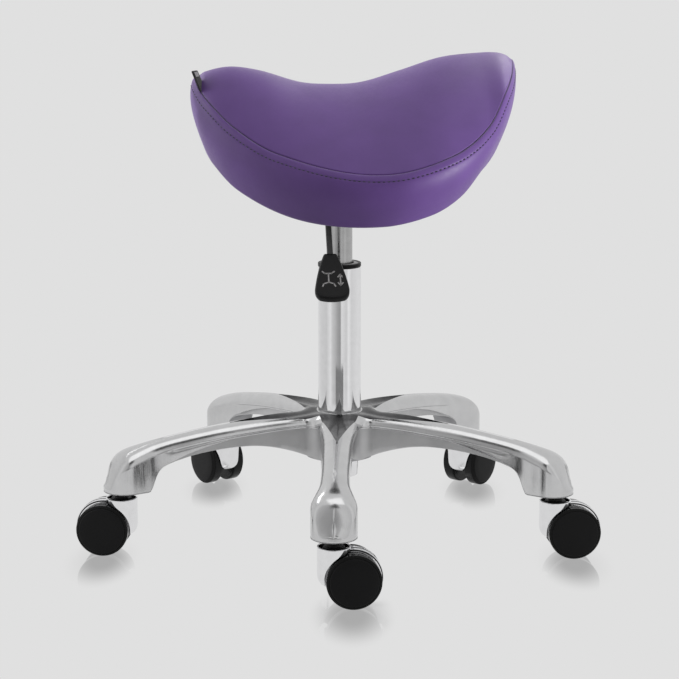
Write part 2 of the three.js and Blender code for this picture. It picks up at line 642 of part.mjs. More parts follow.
// A wheel with a flat tread and a bevelled outer shoulder, on the +Y or -Y side.
function casterWheel(side) {
  const { radius, inner, outer, face } = WHEEL;
  const blind = outer - 3;
  const bore = AXLE_RADIUS + GAP;
  const profile = [[bore, inner], [radius - 1, inner], [radius, inner + 1], [radius, outer - 3.5],
    [face, outer], [0, outer], [0, blind], [bore, blind], [bore, inner]];
  return turned(profile, WHEEL_SEGMENTS)
    .rotateZ(Math.PI / WHEEL_SEGMENTS) // a facet, not an edge, faces the floor
    .rotateX(side > 0 ? -Math.PI / 2 : Math.PI / 2)
    .translate(TRAIL, 0, AXLE_HEIGHT);
}

const CASTERS = [
  { name: "front", leg: 0, trail: 6 },
  { name: "right", leg: 1, trail: 5 },
  { name: "back_right", leg: 2, trail: 54 },
  { name: "back_left", leg: 3, trail: 126 },
  { name: "left", leg: 4, trail: 175 },
];

for (const { name, leg: index, trail } of CASTERS) {
  const angle = radians(legAngle(index));
  const caster = new THREE.Group();
  caster.position.set(CASTER_CIRCLE * Math.cos(angle), CASTER_CIRCLE * Math.sin(angle), 0);
  caster.rotation.z = radians(trail);
  root.add(caster);
  place(caster, `caster_stem_${name}`, casterStem(), "chrome");
  place(caster, `caster_bush_${name}`, casterBush(), "black_plastic");
  place(caster, `caster_hood_${name}`, casterHood(), "chrome");
  place(caster, `caster_axle_${name}`,
    barAlongY(AXLE_RADIUS, -WHEEL.outer + 3.5, WHEEL.outer - 3.5, TRAIL, AXLE_HEIGHT), "steel");
  place(caster, `wheel_a_${name}`, casterWheel(1), "tread");
  place(caster, `wheel_b_${name}`, casterWheel(-1), "tread");
}

export default root;
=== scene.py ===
import json
import math

import bmesh
import bpy
import numpy as np
from mathutils import Matrix, Vector

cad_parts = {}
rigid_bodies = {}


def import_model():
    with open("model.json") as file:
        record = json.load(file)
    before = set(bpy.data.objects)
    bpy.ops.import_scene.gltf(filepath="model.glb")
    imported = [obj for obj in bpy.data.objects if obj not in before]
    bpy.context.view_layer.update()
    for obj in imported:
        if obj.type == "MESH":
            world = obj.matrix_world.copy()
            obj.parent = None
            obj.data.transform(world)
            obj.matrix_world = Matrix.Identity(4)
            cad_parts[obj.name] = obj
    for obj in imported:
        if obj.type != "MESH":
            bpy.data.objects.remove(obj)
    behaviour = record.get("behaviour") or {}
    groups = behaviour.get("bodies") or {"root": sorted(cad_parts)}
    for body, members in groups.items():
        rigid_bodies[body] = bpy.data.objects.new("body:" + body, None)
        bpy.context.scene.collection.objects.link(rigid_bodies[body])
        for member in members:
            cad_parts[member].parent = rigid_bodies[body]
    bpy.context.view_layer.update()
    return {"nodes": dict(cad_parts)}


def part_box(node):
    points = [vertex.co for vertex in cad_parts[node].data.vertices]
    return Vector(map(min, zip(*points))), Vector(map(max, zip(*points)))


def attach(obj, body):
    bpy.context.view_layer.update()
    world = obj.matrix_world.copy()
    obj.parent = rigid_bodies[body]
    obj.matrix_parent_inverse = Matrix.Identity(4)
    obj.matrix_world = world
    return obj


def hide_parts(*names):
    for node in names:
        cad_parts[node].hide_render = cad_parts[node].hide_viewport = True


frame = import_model()
MM = 0.001  # the shapes below are drawn in millimetres, as the CAD is

# ------------------------------------------------------------------ places read from the frame
SEAT_TURN = math.radians(4.5)  # the seat's own frame, turned on the column
BASE_TURN = math.radians(-1.3)
LEG_COUNT = 5
CASTERS = ("front", "right", "back_right", "back_left", "left")


def centre_of(node):
    low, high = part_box(node)
    return (low + high) / 2


def span_of(node):
    """The node's lowest and highest point, in millimetres."""
    low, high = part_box(node)
    return low.z / MM, high.z / MM


AXIS = Vector((centre_of("lift_outer_tube").x, centre_of("lift_outer_tube").y, 0))
COLUMN = Matrix.Translation(AXIS)  # what is drawn about the column's axis stands there


# ------------------------------------------------------------------ small geometry tools
def through(points, x):
    """A smooth curve through (x, y) points, read at x, and level at both ends."""
    last = len(points) - 1
    if x <= points[0][0]:
        return points[0][1]
    if x >= points[last][0]:
        return points[last][1]
    k = next(i for i, p in enumerate(points) if p[0] > x) - 1

    def slope(i):
        if i <= 0 or i >= last:
            return 0.0
        return (points[i + 1][1] - points[i - 1][1]) / (points[i + 1][0] - points[i - 1][0])

    span = points[k + 1][0] - points[k][0]
    t = (x - points[k][0]) / span
    a, b = points[k][1], points[k + 1][1]
    da, db = slope(k) * span, slope(k + 1) * span
    return a + da * t + (3 * (b - a) - 2 * da - db) * t ** 2 + (2 * (a - b) + da + db) * t ** 3


def smoothstep(x, low, high):
    t = min(1.0, max(0.0, (x - low) / (high - low)))
    return t * t * (3 - 2 * t)


def lerp(a, b, t):
    return a + (b - a) * t


def run_lengths(points):
    """How far along a polyline each of its points is."""
    steps = np.linalg.norm(np.diff(points, axis=0), axis=1)
    return np.concatenate(([0], np.cumsum(steps)))


def ring_angles(count):
    return [2 * math.pi * k / count for k in range(count)]


class Skin:
    """Grids of points, in millimetres, gathered and welded into one mesh."""

    def __init__(self):
        self.points = []
        self.faces = []
        self.slots = []

    def grid(self, rows, slot=0, wrap=False):
        """Adds a patch of equal rows of points. slot is one number, or a function of (row, column)."""
        start = len(self.points)
        height, width = len(rows), len(rows[0])
        for row in rows:
            self.points.extend(row)
        for i in range(height - 1):
            for j in range(width if wrap else width - 1):
                k = (j + 1) % width
                self.faces.append([start + i * width + j, start + i * width + k,
                                   start + (i + 1) * width + k, start + (i + 1) * width + j])
                self.slots.append(slot(i, j) if callable(slot) else slot)

    def cap(self, row):
        """Closes a ring of points with a fan to its middle."""
        self.grid([[tuple(np.mean(row, axis=0))] * len(row), row], wrap=True)

    def mesh(self, name, weld=0.004, sharp=35.0):
        """One welded mesh in metres, its normals outwards, with sharp edges over that angle."""
        mesh = bpy.data.meshes.new(name)
        mesh.from_pydata([tuple(c * MM for c in p) for p in self.points], [], self.faces)
        mesh.polygons.foreach_set("material_index", self.slots)
        made = bmesh.new()
        made.from_mesh(mesh)
        bmesh.ops.remove_doubles(made, verts=made.verts, dist=weld * MM)
        bmesh.ops.dissolve_degenerate(made, edges=made.edges, dist=weld * MM)
        bmesh.ops.recalc_face_normals(made, faces=made.faces)
        made.to_mesh(mesh)
        made.free()
        smooth(mesh, sharp)
        return mesh


def smooth(mesh, sharp=35.0):
    mesh.shade_smooth()
    mesh.set_sharp_from_angle(angle=math.radians(sharp))


def piece(name, mesh, body, materials, replaces=(), matrix=COLUMN):
    """A named object of the visual model, on its body, standing for its CAD nodes."""
    made = bpy.data.objects.new(name, mesh)
    bpy.context.scene.collection.objects.link(made)
    if not mesh.materials:
        for material in materials:
            mesh.materials.append(material)
    made.matrix_world = matrix
    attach(made, body)
    if replaces:
        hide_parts(*replaces)
    return made


def turned_mesh(name, profile, segments=96, slot=0, sharp=35.0):
    """A solid turned about Z from (radius, height) points, with a slot or a slot for each step."""
    rows = []
    for k in range(segments):
        angle = 2 * math.pi * k / segments
        rows.append([(r * math.cos(angle), r * math.sin(angle), z) for r, z in profile])
    rows.append(rows[0])
    skin = Skin()
    skin.grid(rows, slot=(lambda i, j: slot(j)) if callable(slot) else slot)
    return skin.mesh(name, sharp=sharp)


def arc(cx, cz, radius, start, end, steps):
    """Points of a round corner, with its angles in degrees."""
    angles = [math.radians(lerp(start, end, k / steps)) for k in range(steps + 1)]
    return [(cx + radius * math.cos(a), cz + radius * math.sin(a)) for a in angles]


# ------------------------------------------------------------------ material tools
class Nodes:
    """A node tree with short calls for what is added to it."""

    def __init__(self, tree):
        self.tree = tree

    def node(self, kind, **values):
        made = self.tree.nodes.new(kind)
        for key, value in values.items():
            if key in made.inputs:
                made.inputs[key].default_value = value
            else:
                setattr(made, key, value)
        return made

    def link(self, source, target):
        self.tree.links.new(source, target)

    def ranged(self, value, low, high, to_low, to_high, **values):
        made = self.node("ShaderNodeMapRange", **values)
        for key, number in (("From Min", low), ("From Max", high), ("To Min", to_low), ("To Max", to_high)):
            made.inputs[key].default_value = number
        self.link(value, made.inputs["Value"])
        return made.outputs["Result"]

    def mixed(self, share, first, second):
        """The first shader where the share is 0, and the second where it is 1."""
        mix = self.node("ShaderNodeMixShader")
        for source, target in zip((share, first, second), mix.inputs):
            self.link(source, target)
        return mix.outputs["Shader"]

    def dimmed(self, strength, keep_diffuse):
        """The strength, or only a share of it for a ray of diffuse light."""
        path = self.node("ShaderNodeLightPath")
        return self.ranged(path.outputs["Is Diffuse Ray"], 0, 1, strength, strength * keep_diffuse)


class Finish(Nodes):
    """A Principled material with short calls for the nodes that its detail needs."""

    def __init__(self, name, color, roughness, metallic=0.0):
        self.material = bpy.data.materials.new(name)
        self.material.use_nodes = True
        super().__init__(self.material.node_tree)
        self.shader = self.tree.nodes["Principled BSDF"]
        self.color = color
        self.shader.inputs["Base Color"].default_value = (*color, 1)
        self.shader.inputs["Roughness"].default_value = roughness
        self.shader.inputs["Metallic"].default_value = metallic

    def place(self, scale=(1, 1, 1)):
        """The object's own coordinates, in metres, stretched."""
        coordinates = self.node("ShaderNodeTexCoord")
        mapping = self.node("ShaderNodeMapping", Scale=scale)
        self.link(coordinates.outputs["Object"], mapping.inputs["Vector"])
        return mapping.outputs["Vector"]

    def noise(self, scale, detail=3.0, roughness=0.5, stretch=(1, 1, 1)):
        made = self.node("ShaderNodeTexNoise", Scale=scale, Detail=detail, Roughness=roughness)
        self.link(self.place(stretch), made.inputs["Vector"])
        return made.outputs["Fac"]

    def cells(self, scale, feature="F1", smooth_by=None):
        made = self.node("ShaderNodeTexVoronoi", feature=feature, Scale=scale)
        if smooth_by is not None:
            made.inputs["Smoothness"].default_value = smooth_by
        self.link(self.place(), made.inputs["Vector"])
        return made.outputs["Distance"]

    def vary_color(self, value, darker, lighter):
        """The base colour runs from darker to lighter times itself as value goes from 0.3 to 0.7."""
        ramp = self.node("ShaderNodeValToRGB")
        for element, position, factor in zip(ramp.color_ramp.elements, (0.3, 0.7), (darker, lighter)):
            element.position = position
            element.color = (*[min(1.0, c * factor) for c in self.color], 1)
        self.link(value, ramp.inputs["Fac"])
        self.link(ramp.outputs["Color"], self.shader.inputs["Base Color"])
        return self

    def vary_roughness(self, value, low, high):
        self.link(self.ranged(value, 0.3, 0.7, low, high), self.shader.inputs["Roughness"])
        return self

    def bump(self, *layers):
        """Layers of (height, strength, distance in metres) over each other."""
        normal = None
        for height, strength, distance in layers:
            made = self.node("ShaderNodeBump", Strength=strength, Distance=distance)
            self.link(height, made.inputs["Height"])
            if normal:
                self.link(normal, made.inputs["Normal"])
            normal = made.outputs["Normal"]
        self.link(normal, self.shader.inputs["Normal"])
        return self

    def set(self, **values):
        for key, value in values.items():
            self.shader.inputs[key.replace("_", " ")].default_value = value
        return self


def srgb(code):
    """A colour written as six hexadecimal digits, in linear light."""
    channels = [int(code[i:i + 2], 16) / 255 for i in (0, 2, 4)]
    return tuple(c / 12.92 if c <= 0.04045 else ((c + 0.055) / 1.055) ** 2.4 for c in channels)


# ------------------------------------------------------------------ materials
def leatherette(name, code):
    """Smooth coated fabric: a fine pebble grain, soft large undulations and a low satin gloss."""
    made = Finish(name, srgb(code), 0.5)
    grain = made.cells(1500.0, feature="SMOOTH_F1", smooth_by=0.6)
    pores = made.noise(5200.0, detail=2.0)
    slack = made.noise(14.0, detail=1.5)
    made.vary_color(made.noise(30.0, detail=3.0), 0.94, 1.06)
    made.vary_roughness(made.noise(260.0, detail=2.0), 0.45, 0.54)
    made.bump((slack, 0.35, 0.004), (grain, 0.16, 0.00025), (pores, 0.08, 0.00012))
    return made.set(Specular_IOR_Level=0.4, Sheen_Weight=0.16, Sheen_Roughness=0.35).material


def thread(name, code):
    made = Finish(name, srgb(code), 0.6)
    twist = made.noise(2600.0, detail=1.0, stretch=(1.0, 1.0, 0.35))
    made.vary_color(twist, 0.75, 1.2).vary_roughness(twist, 0.5, 0.7)
    made.bump((twist, 0.5, 0.0002))
    return made.set(Sheen_Weight=0.2).material


def polished_aluminium():
    """Buffed casting: bright, with faint drawn streaks and a little waviness."""
    made = Finish("polished_aluminium", (0.64, 0.64, 0.645), 0.22, 1.0)
    streaks = made.noise(900.0, detail=2.0, stretch=(1.0, 1.0, 0.06))
    waves = made.noise(32.0, detail=1.0)
    made.vary_color(made.noise(60.0, detail=3.0), 0.95, 1.03)
    made.vary_roughness(streaks, 0.13, 0.22)
    made.bump((waves, 0.2, 0.0012), (streaks, 0.04, 0.0001))
    return made.material


def satin_and_shade_aluminium():
    """The recessed sides of the legs: lightly blasted and duller than the bead, and greyer partly as
    painted shade for their being set in under it.
    """
    made = Finish("satin_and_shade_aluminium", (0.5, 0.5, 0.505), 0.42, 1.0)
    blast = made.noise(2400.0, detail=3.0)
    made.vary_color(made.noise(45.0, detail=3.0), 0.93, 1.05)
    made.vary_roughness(blast, 0.36, 0.48).bump((blast, 0.22, 0.0002))
    return made.material


def painted_valley_shade():
    """The valleys round the hub, painted near black as painted shade for the sunken faces between the legs.
    """
    made = Finish("painted_valley_shade", (0.06, 0.06, 0.062), 0.24, 1.0)
    swirl = made.noise(500.0, detail=2.0, stretch=(1.0, 1.0, 0.2))
    made.vary_color(made.noise(120.0, detail=3.0), 0.8, 1.3)
    made.vary_roughness(swirl, 0.14, 0.28).bump((made.noise(60.0, detail=1.0), 0.35, 0.001))
    return made.material


def raw_casting():
    """The hollow underside as it leaves the mould."""
    made = Finish("raw_casting", (0.36, 0.36, 0.37), 0.55, 1.0)
    sand = made.noise(1300.0, detail=4.0, roughness=0.6)
    made.vary_color(made.noise(70.0, detail=3.0), 0.85, 1.1)
    made.vary_roughness(sand, 0.48, 0.64).bump((sand, 0.5, 0.0004))
    return made.material


def chrome():
    made = Finish("chrome", (0.86, 0.86, 0.87), 0.07, 1.0)
    haze = made.noise(140.0, detail=3.0)
    made.vary_color(haze, 0.97, 1.02).vary_roughness(haze, 0.05, 0.1)
    made.bump((made.noise(50.0, detail=1.0), 0.05, 0.0006))
    return made.material


def steel(name="steel", code="8f8f90", roughness=0.32):
    made = Finish(name, srgb(code), roughness, 1.0)
    scratches = made.noise(1100.0, detail=2.0, stretch=(0.1, 1.0, 1.0))
    made.vary_color(made.noise(90.0), 0.92, 1.06)
    made.vary_roughness(scratches, roughness - 0.07, roughness + 0.1).bump((scratches, 0.12, 0.0001))
    return made.material


def moulded(name, code, roughness, grain_scale=2600.0, grain=0.2):
    """Moulded plastic with a fine spark-eroded grain."""
    made = Finish(name, srgb(code), roughness)
    texture = made.noise(grain_scale, detail=3.0)
    made.vary_color(made.noise(55.0, detail=2.0), 0.88, 1.12)
    made.vary_roughness(texture, roughness - 0.06, roughness + 0.08)
    made.bump((texture, grain, 0.00022))
    return made.set(Specular_IOR_Level=0.2).material


def powder_coat():
    made = Finish("black_powder_coat", srgb("1d1d1e"), 0.42, 0.0)
    peel = made.cells(900.0, feature="SMOOTH_F1", smooth_by=0.8)
    made.vary_roughness(made.noise(300.0), 0.36, 0.5)
    made.vary_color(made.noise(120.0), 0.85, 1.15).bump((peel, 0.25, 0.0003))
    return made.material


def plywood():
    """The seat board: long grain with darker bands."""
    made = Finish("plywood", srgb("b08a5a"), 0.6)
    grain = made.noise(160.0, detail=5.0, roughness=0.6, stretch=(0.08, 1.0, 1.0))
    made.vary_color(grain, 0.72, 1.12).vary_roughness(grain, 0.52, 0.7)
    made.bump((grain, 0.25, 0.0004))
    return made.material


def dust_cloth():
    """Thin black bonded fabric under the seat."""
    made = Finish("dust_cloth", srgb("141415"), 0.85)
    fibres = made.noise(3200.0, detail=4.0, roughness=0.7)
    dimples = made.cells(420.0)
    made.vary_color(fibres, 0.7, 1.5).bump((dimples, 0.35, 0.0004), (fibres, 0.4, 0.0002))
    return made.set(Sheen_Weight=0.15).material


def ribbon():
    """Woven label ribbon: fine ribs across."""
    made = Finish("woven_ribbon", srgb("131314"), 0.62)
    ribs = made.node("ShaderNodeTexWave", Scale=900.0, Distortion=0.4)
    ribs.bands_direction = "Z"
    made.link(made.place(), ribs.inputs["Vector"])
    made.vary_color(ribs.outputs["Fac"], 0.7, 1.5).bump((ribs.outputs["Fac"], 0.5, 0.0002))
    return made.set(Sheen_Weight=0.2).material


def rubber():
    made = Finish("rubber", srgb("131313"), 0.78)
    texture = made.noise(1500.0, detail=3.0)
    made.vary_color(texture, 0.8, 1.2).vary_roughness(texture, 0.7, 0.86).bump((texture, 0.2, 0.0002))
    return made.material


def printed_mark():
    made = Finish("printed_mark", srgb("e6e6e4"), 0.5)
    wear = made.noise(900.0, detail=3.0)
    made.vary_color(wear, 0.86, 1.0).vary_roughness(wear, 0.42, 0.6).bump((wear, 0.1, 0.0001))
    return made.material


LEATHER = leatherette("violet_leatherette", "66468c")
THREAD = thread("violet_thread", "2b1a42")
POLISHED = polished_aluminium()
# the legs' web is satin, and its darker tone is partly painted shade
SATIN_AND_SHADE = satin_and_shade_aluminium()
# the valleys' near-black finish is painted shade
VALLEY_SHADE = painted_valley_shade()
CASTING = raw_casting()
CHROME = chrome()
STEEL = steel()
CYLINDER_STEEL = steel("ground_steel", "b4b4b4", 0.16)
POWDER = powder_coat()
PLASTIC = moulded("black_plastic", "101011", 0.42)
WHEEL_FACE = moulded("wheel_face", "0e0e0f", 0.55, 1900.0, 0.28)
SHOULDER = moulded("wheel_shoulder", "060606", 0.6, 1900.0, 0.1)
TREAD = moulded("wheel_tread", "141415", 0.2, 900.0, 0.04)
PLYWOOD = plywood()
DUST_CLOTH = dust_cloth()
RIBBON = ribbon()
RUBBER = rubber()
MARK = printed_mark()


# ------------------------------------------------------------------ saddle seat
# Angles run from the rear, 0 degrees, to the nose, 180. Both halves of the seat are alike.
OUTLINE = {"middle": 43, "rear": 153, "nose": 207, "half": 162, "narrowing": 0.26}
NARROWING_EASE = 0.22  # the narrowing towards the nose starts this gently
EDGE_INSET = {"rear": 18, "nose": 14, "side": 24}  # of the lower edge, in from the seam
NO_INSET = {"rear": 0, "nose": 0, "side": 0}
BULGE = {"rear": 8, "nose": 9, "side": 14}  # how far the side panel swells out
# Heights of the seam and of the lower edge at angles in degrees.
SEAM_HEIGHT = ((0, 556), (27, 525), (43, 489), (63, 461), (95, 442), (125, 461), (143, 487),
               (158, 512), (180, 536))
EDGE_HEIGHT = ((0, 459), (38, 433.5), (54, 407), (70, 389.5), (97, 377), (120, 382.5), (146, 410),
               (163, 434), (180, 447))
# Heights of the middle line at places along it.
RIDGE = ((-164, 536), (-152, 543), (-124, 548.5), (-90, 544), (-45, 531), (-10, 528.4), (25, 530.5),
         (69, 543.5), (115, 558), (160, 563), (180, 563), (190, 560), (196, 556))
ACROSS_POWER = 1.8  # how steeply the top falls away from its middle line
UNDERSIDE = 429.6
UNDER_LEVEL = 0.52  # the underside is level over this share of its width
SEAT_AROUND = 288  # columns round the cushion
SEAM_DEPTH = 1.2
SEAM_WIDTH = 0.65
SEAM_DARK = 0.4  # the thread in the bottom of the seam shows within this distance
ROLL = {"height": 0.25, "at": 3.2, "width": 2.0}  # the cover swells a little below the seam
CHANNEL = {"depth": 0.35, "width": 0.8}  # the stitches lie in it
STITCH_ROW = 9.6  # below the seam
STITCH_PITCH = 5.3
STITCH_LENGTH = 3.3
THREAD_RADIUS = 0.62
THREAD_SIDES = 6
EDGE_ROUND = 12.0  # how far either side of the lower edge it is eased


def outline_point(angle, inset):
    c = math.cos(angle)
    along = OUTLINE["rear"] - inset["rear"] if c > 0 else OUTLINE["nose"] - inset["nose"]
    narrow = 1 + OUTLINE["narrowing"] * (c - math.hypot(c, NARROWING_EASE)) / 2
    half = OUTLINE["half"] - inset["side"]
    return OUTLINE["middle"] + along * c, half * math.sin(angle) * narrow


def folded_degrees(angle):
    degrees = math.degrees(angle) % 360
    return 360 - degrees if degrees > 180 else degrees


def seam_height(angle):
    return through(SEAM_HEIGHT, folded_degrees(angle))


def edge_height(angle):
    return through(EDGE_HEIGHT, folded_degrees(angle))


def top_height(x, y):
    along = OUTLINE["rear"] if x > OUTLINE["middle"] else OUTLINE["nose"]
    angle = math.acos(min(1.0, max(-1.0, (x - OUTLINE["middle"]) / along)))
    half = abs(outline_point(angle, NO_INSET)[1])
    across = 1 if half < 0.5 else min(1.0, abs(y) / half)
    ridge = through(RIDGE, x)
    return ridge - (ridge - seam_height(angle)) * across ** ACROSS_POWER


def top_point(angle, share):
    """A point of the seat's top panel: share 0 is the middle and 1 is the seam."""
    x, y = outline_point(angle, NO_INSET)
    z = seam_height(angle) if share >= 1 else top_height(x * share, y * share)
    return np.array((x * share, y * share, z))


def side_point(angle, share):
    """A point of the side panel: share 0 is the seam and 1 is the lower edge."""
    sx, sy = outline_point(angle, NO_INSET)
    ex, ey = outline_point(angle, EDGE_INSET)
    nx, ny = OUTLINE["half"] * math.cos(angle), OUTLINE["rear"] * math.sin(angle)
    size = math.hypot(nx, ny)
    end = BULGE["rear"] if math.cos(angle) > 0 else BULGE["nose"]
    swell = lerp(BULGE["side"], end, math.cos(angle) ** 2)
    out = swell * math.sin(math.pi * share ** 0.7)
    return np.array((lerp(sx, ex, share) + out * nx / size, lerp(sy, ey, share) + out * ny / size,
                     lerp(seam_height(angle), edge_height(angle), share)))


def under_point(angle, share):
    """A point of the underside: share 1 is the lower edge, and it is level at the middle."""
    x, y = outline_point(angle, EDGE_INSET)
    rise = max(0.0, (share - UNDER_LEVEL) / (1 - UNDER_LEVEL)) ** 1.4
    return np.array((x * share, y * share, lerp(UNDERSIDE, edge_height(angle), rise)))


def resample(points, distances):
    """The points of a polyline at those distances along it."""
    along = run_lengths(points)
    return np.stack([np.interp(distances, along, points[:, k]) for k in range(3)], axis=1)


# Distances from the seam of the points beside it, with STITCH_ROW among them.
NEAR_SEAM = (0.0, 0.35, 0.7, 1.0, 1.4, 1.9, 2.6, 3.6, 5.0, 6.6, 7.9, 8.6, 9.1, 9.6, 10.1, 10.6, 11.3,
             12.6, 14.2)
TOP_STEPS = 46
SIDE_STEPS = 34
UNDER_STEPS = 16
FINE = 160  # samples of a panel's curve before it is spaced evenly


def panel_column(curve, far_steps):
    """A column of a panel: close points beside the seam, then even ones to its far end."""
    length = run_lengths(curve)[-1]
    far = [lerp(NEAR_SEAM[-1], length, k / far_steps) for k in range(1, far_steps + 1)]
    return resample(curve, list(NEAR_SEAM) + far)


def rounded(column, corner, reach):
    """The column with its corner point eased over a distance either side."""
    along = run_lengths(column)
    along -= along[corner]
    made = column.copy()
    for k in np.nonzero(np.abs(along) < 3 * reach)[0]:
        spread = reach * math.exp(-(along[k] / (1.6 * reach)) ** 2)
        if spread < 0.2:
            continue
        weights = np.exp(-((along - along[k]) / spread) ** 2)
        weights *= np.gradient(along)
        made[k] = (column * weights[:, None]).sum(0) / weights.sum()
    return made


def seat_columns():
    """Each column runs from the middle of the top over the seam, down the side and under."""
    shares = np.linspace(0, 1, FINE)
    columns = []
    for k in range(SEAT_AROUND):
        angle = 2 * math.pi * k / SEAT_AROUND
        top = np.array([top_point(angle, 1 - s) for s in shares])
        side = np.array([side_point(angle, s) for s in shares])
        under = np.array([under_point(angle, 1 - s) for s in shares])
        top_column = panel_column(top, TOP_STEPS)[::-1]
        side_column = panel_column(side, SIDE_STEPS)
        under_column = resample(under, np.linspace(0, run_lengths(under)[-1], UNDER_STEPS + 1))
        column = np.concatenate((top_column, side_column[1:], under_column[1:]))
        columns.append(rounded(column, len(top_column) + len(side_column) - 2, EDGE_ROUND))
    return np.array(columns)


def grid_normals(grid):
    """Unit normals of a closed grid of points, outwards."""
    around = np.roll(grid, -1, axis=0) - np.roll(grid, 1, axis=0)
    along = np.gradient(grid, axis=1)
    normals = np.cross(along, around)
    lengths = np.linalg.norm(normals, axis=2, keepdims=True)
    return normals / np.maximum(lengths, 1e-9)


SEAM_ROW = TOP_STEPS + len(NEAR_SEAM) - 1  # of a seat column


def seam_distance(grid):
    """The distance of each point of the grid from the seam, along its column."""
    along = np.array([run_lengths(column) for column in grid])
    return along - along[:, SEAM_ROW:SEAM_ROW + 1]


def seat_cover():
    """The cushion's cover with its seam drawn in and a shallow channel for the stitches."""
    grid = seat_columns()
    normals = grid_normals(grid)
    distance = seam_distance(grid)
    seam = SEAM_DEPTH * np.exp(-(distance / SEAM_WIDTH) ** 2)
    roll = ROLL["height"] * np.exp(-((distance - ROLL["at"]) / ROLL["width"]) ** 2)
    channel = CHANNEL["depth"] * np.exp(-((distance - STITCH_ROW) / CHANNEL["width"]) ** 2)
    dark = (np.abs(distance[0]) < SEAM_DARK).astype(int)
    grid = grid + normals * (roll - seam - channel)[:, :, None]
    skin = Skin()
    skin.grid([list(map(tuple, column)) for column in grid] + [list(map(tuple, grid[0]))],
              slot=lambda i, j: int(dark[j] and dark[j + 1]))
    return skin.mesh("seat_cushion_cover", weld=0.02, sharp=60), grid, normals


def stitch(skin, start, end, up):
    """One stitch: a short bent thread that dives into the cover at both ends."""
    axis = end - start
    length = np.linalg.norm(axis)
    axis = axis / length
    side = np.cross(axis, up)
    rows = []
    for t in np.linspace(0, 1, 7):
        crown = math.sin(math.pi * t)
        centre = start + axis * length * t + up * (0.55 * crown ** 0.6 - 0.2)
        radius = THREAD_RADIUS * (0.35 + 0.65 * crown ** 0.4)
        rows.append([tuple(centre + radius * (side * math.cos(a) + up * math.sin(a)))
                     for a in ring_angles(THREAD_SIDES)])
    skin.grid(rows, wrap=True)
    skin.cap(rows[0])
    skin.cap(rows[-1])


def stitches(grid, normals):
    """The topstitched row, along the side panel just below the seam."""
    row = SEAM_ROW + NEAR_SEAM.index(STITCH_ROW)
    line = np.concatenate((grid[:, row], grid[:1, row]))
    ups = np.concatenate((normals[:, row], normals[:1, row]))
    along = run_lengths(line)
    count = round(along[-1] / STITCH_PITCH)

    def at(values, distance):
        return np.array([np.interp(distance, along, values[:, k]) for k in range(3)])

    skin = Skin()
    for k in range(count):
        begin = along[-1] * k / count
        up = at(ups, begin + STITCH_LENGTH / 2)
        stitch(skin, at(line, begin), at(line, begin + STITCH_LENGTH), up / np.linalg.norm(up))
    return skin.mesh("seat_stitches", weld=0.0005, sharp=80)


SEAT_MATRIX = COLUMN @ Matrix.Rotation(SEAT_TURN, 4, "Z")


def build_seat():
    cover, grid, normals = seat_cover()
    cushion = piece("seat_cushion_cover", cover, "seat", [LEATHER, THREAD],
                    ["seat_cushion"], SEAT_MATRIX)
    sewing = piece("seat_stitches", stitches(grid, normals), "seat", [THREAD],
                   matrix=SEAT_MATRIX)
    for made in (cushion, sewing, frame["nodes"]["seat_pan"], frame["nodes"]["bottom_cover"]):
        made.visible_glossy = False  # the metal below mirrors the neutral card instead


TAG = {"width": 14, "height": 24, "lean": 24, "turn": 24, "foot": (-155, -26, 523), "gap": 0.8}
TAG_FOLD = 1.6  # height of the round fold at its top
TAG_BOW = 0.7


def tag_profile():
    """(x, z) points up one tail, over the fold and down the other tail."""
    height, half = TAG["height"], TAG["gap"] / 2
    tail = [(half, 0.0), (half * 1.2, 0.35 * height), (half * 1.5, 0.7 * height)]
    fold = [(1.3 * half * -math.cos(a), height - TAG_FOLD + TAG_FOLD * math.sin(a))
            for a in np.linspace(0, math.pi, 9)]
    return [(-x, z) for x, z in tail] + fold + tail[::-1]


def build_tag():
    """A ribbon folded over at its top, its two tails sewn into the seam."""
    lean, turn = math.radians(-TAG["lean"]), math.radians(TAG["turn"])
    foot_x, foot_y, foot_z = TAG["foot"]
    rows = []
    for k in range(11):
        share = k / 10 - 0.5
        y = share * TAG["width"]
        row = []
        for x, z in tag_profile():
            x += TAG_BOW * math.cos(math.pi * share) * (z / TAG["height"])
            out = x * math.cos(lean) + z * math.sin(lean)
            up = z * math.cos(lean) - x * math.sin(lean)
            row.append((foot_x + out * math.cos(turn) + y * math.sin(turn),
                        foot_y + y * math.cos(turn) - out * math.sin(turn), foot_z + up))
        rows.append(row)
    skin = Skin()
    skin.grid(rows, lambda i, j: 1 if 1 < i < 8 and j == 11 else 0)
    mesh = skin.mesh("label_tag_ribbon", sharp=80)
    tag = piece("label_tag_ribbon", mesh, "seat", [RIBBON, MARK], ["label_tag"], SEAT_MATRIX)
    thick = tag.modifiers.new("thickness", "SOLIDIFY")
    thick.thickness = 0.0005
    thick.offset = 0


# ------------------------------------------------------------------ star base
# Each leg is drawn along +X. Heights, or half widths, at distances from the column's axis.
LEG_TOP = ((0, 151), (60, 150), (111, 145), (150, 140.5), (185, 135), (215, 129.5), (237, 124.5),
           (258, 117.5), (271, 107.5), (280, 84))
LEG_WEB = ((0, 88), (30, 93), (52, 104), (84, 113), (114, 116), (158, 113), (192, 106), (219, 96),
           (231, 73))
APRON = ((0, 136), (60, 135), (115, 130), (150, 123), (175, 116), (200, 106.5), (219, 96), (231, 73))
LEG_HALF = ((0, 26), (30, 24), (60, 21), (100, 17.5), (150, 16), (200, 15.5), (222, 17), (240, 21.5),
            (256, 25))
FOOT_CENTRE = 255
FOOT_RADIUS = 25
HALF_SECTOR = math.pi / LEG_COUNT
CROTCH_ROUND = 14  # radius of the fillet between two legs, in plan
BEAD_DEPTH = 12.5
BEAD_REACH = 20  # how far in from its outer edge the bead is rounded
WEB_INSET = 5
HOLE_TOP = 25.3
HOLE_BOTTOM = 21.9
HUB_MIDDLE = 40  # where the middle line's points leave the hub
VALLEY_START = 38  # where the valley's edge crosses the line midway between two legs
VALLEY_END = 132
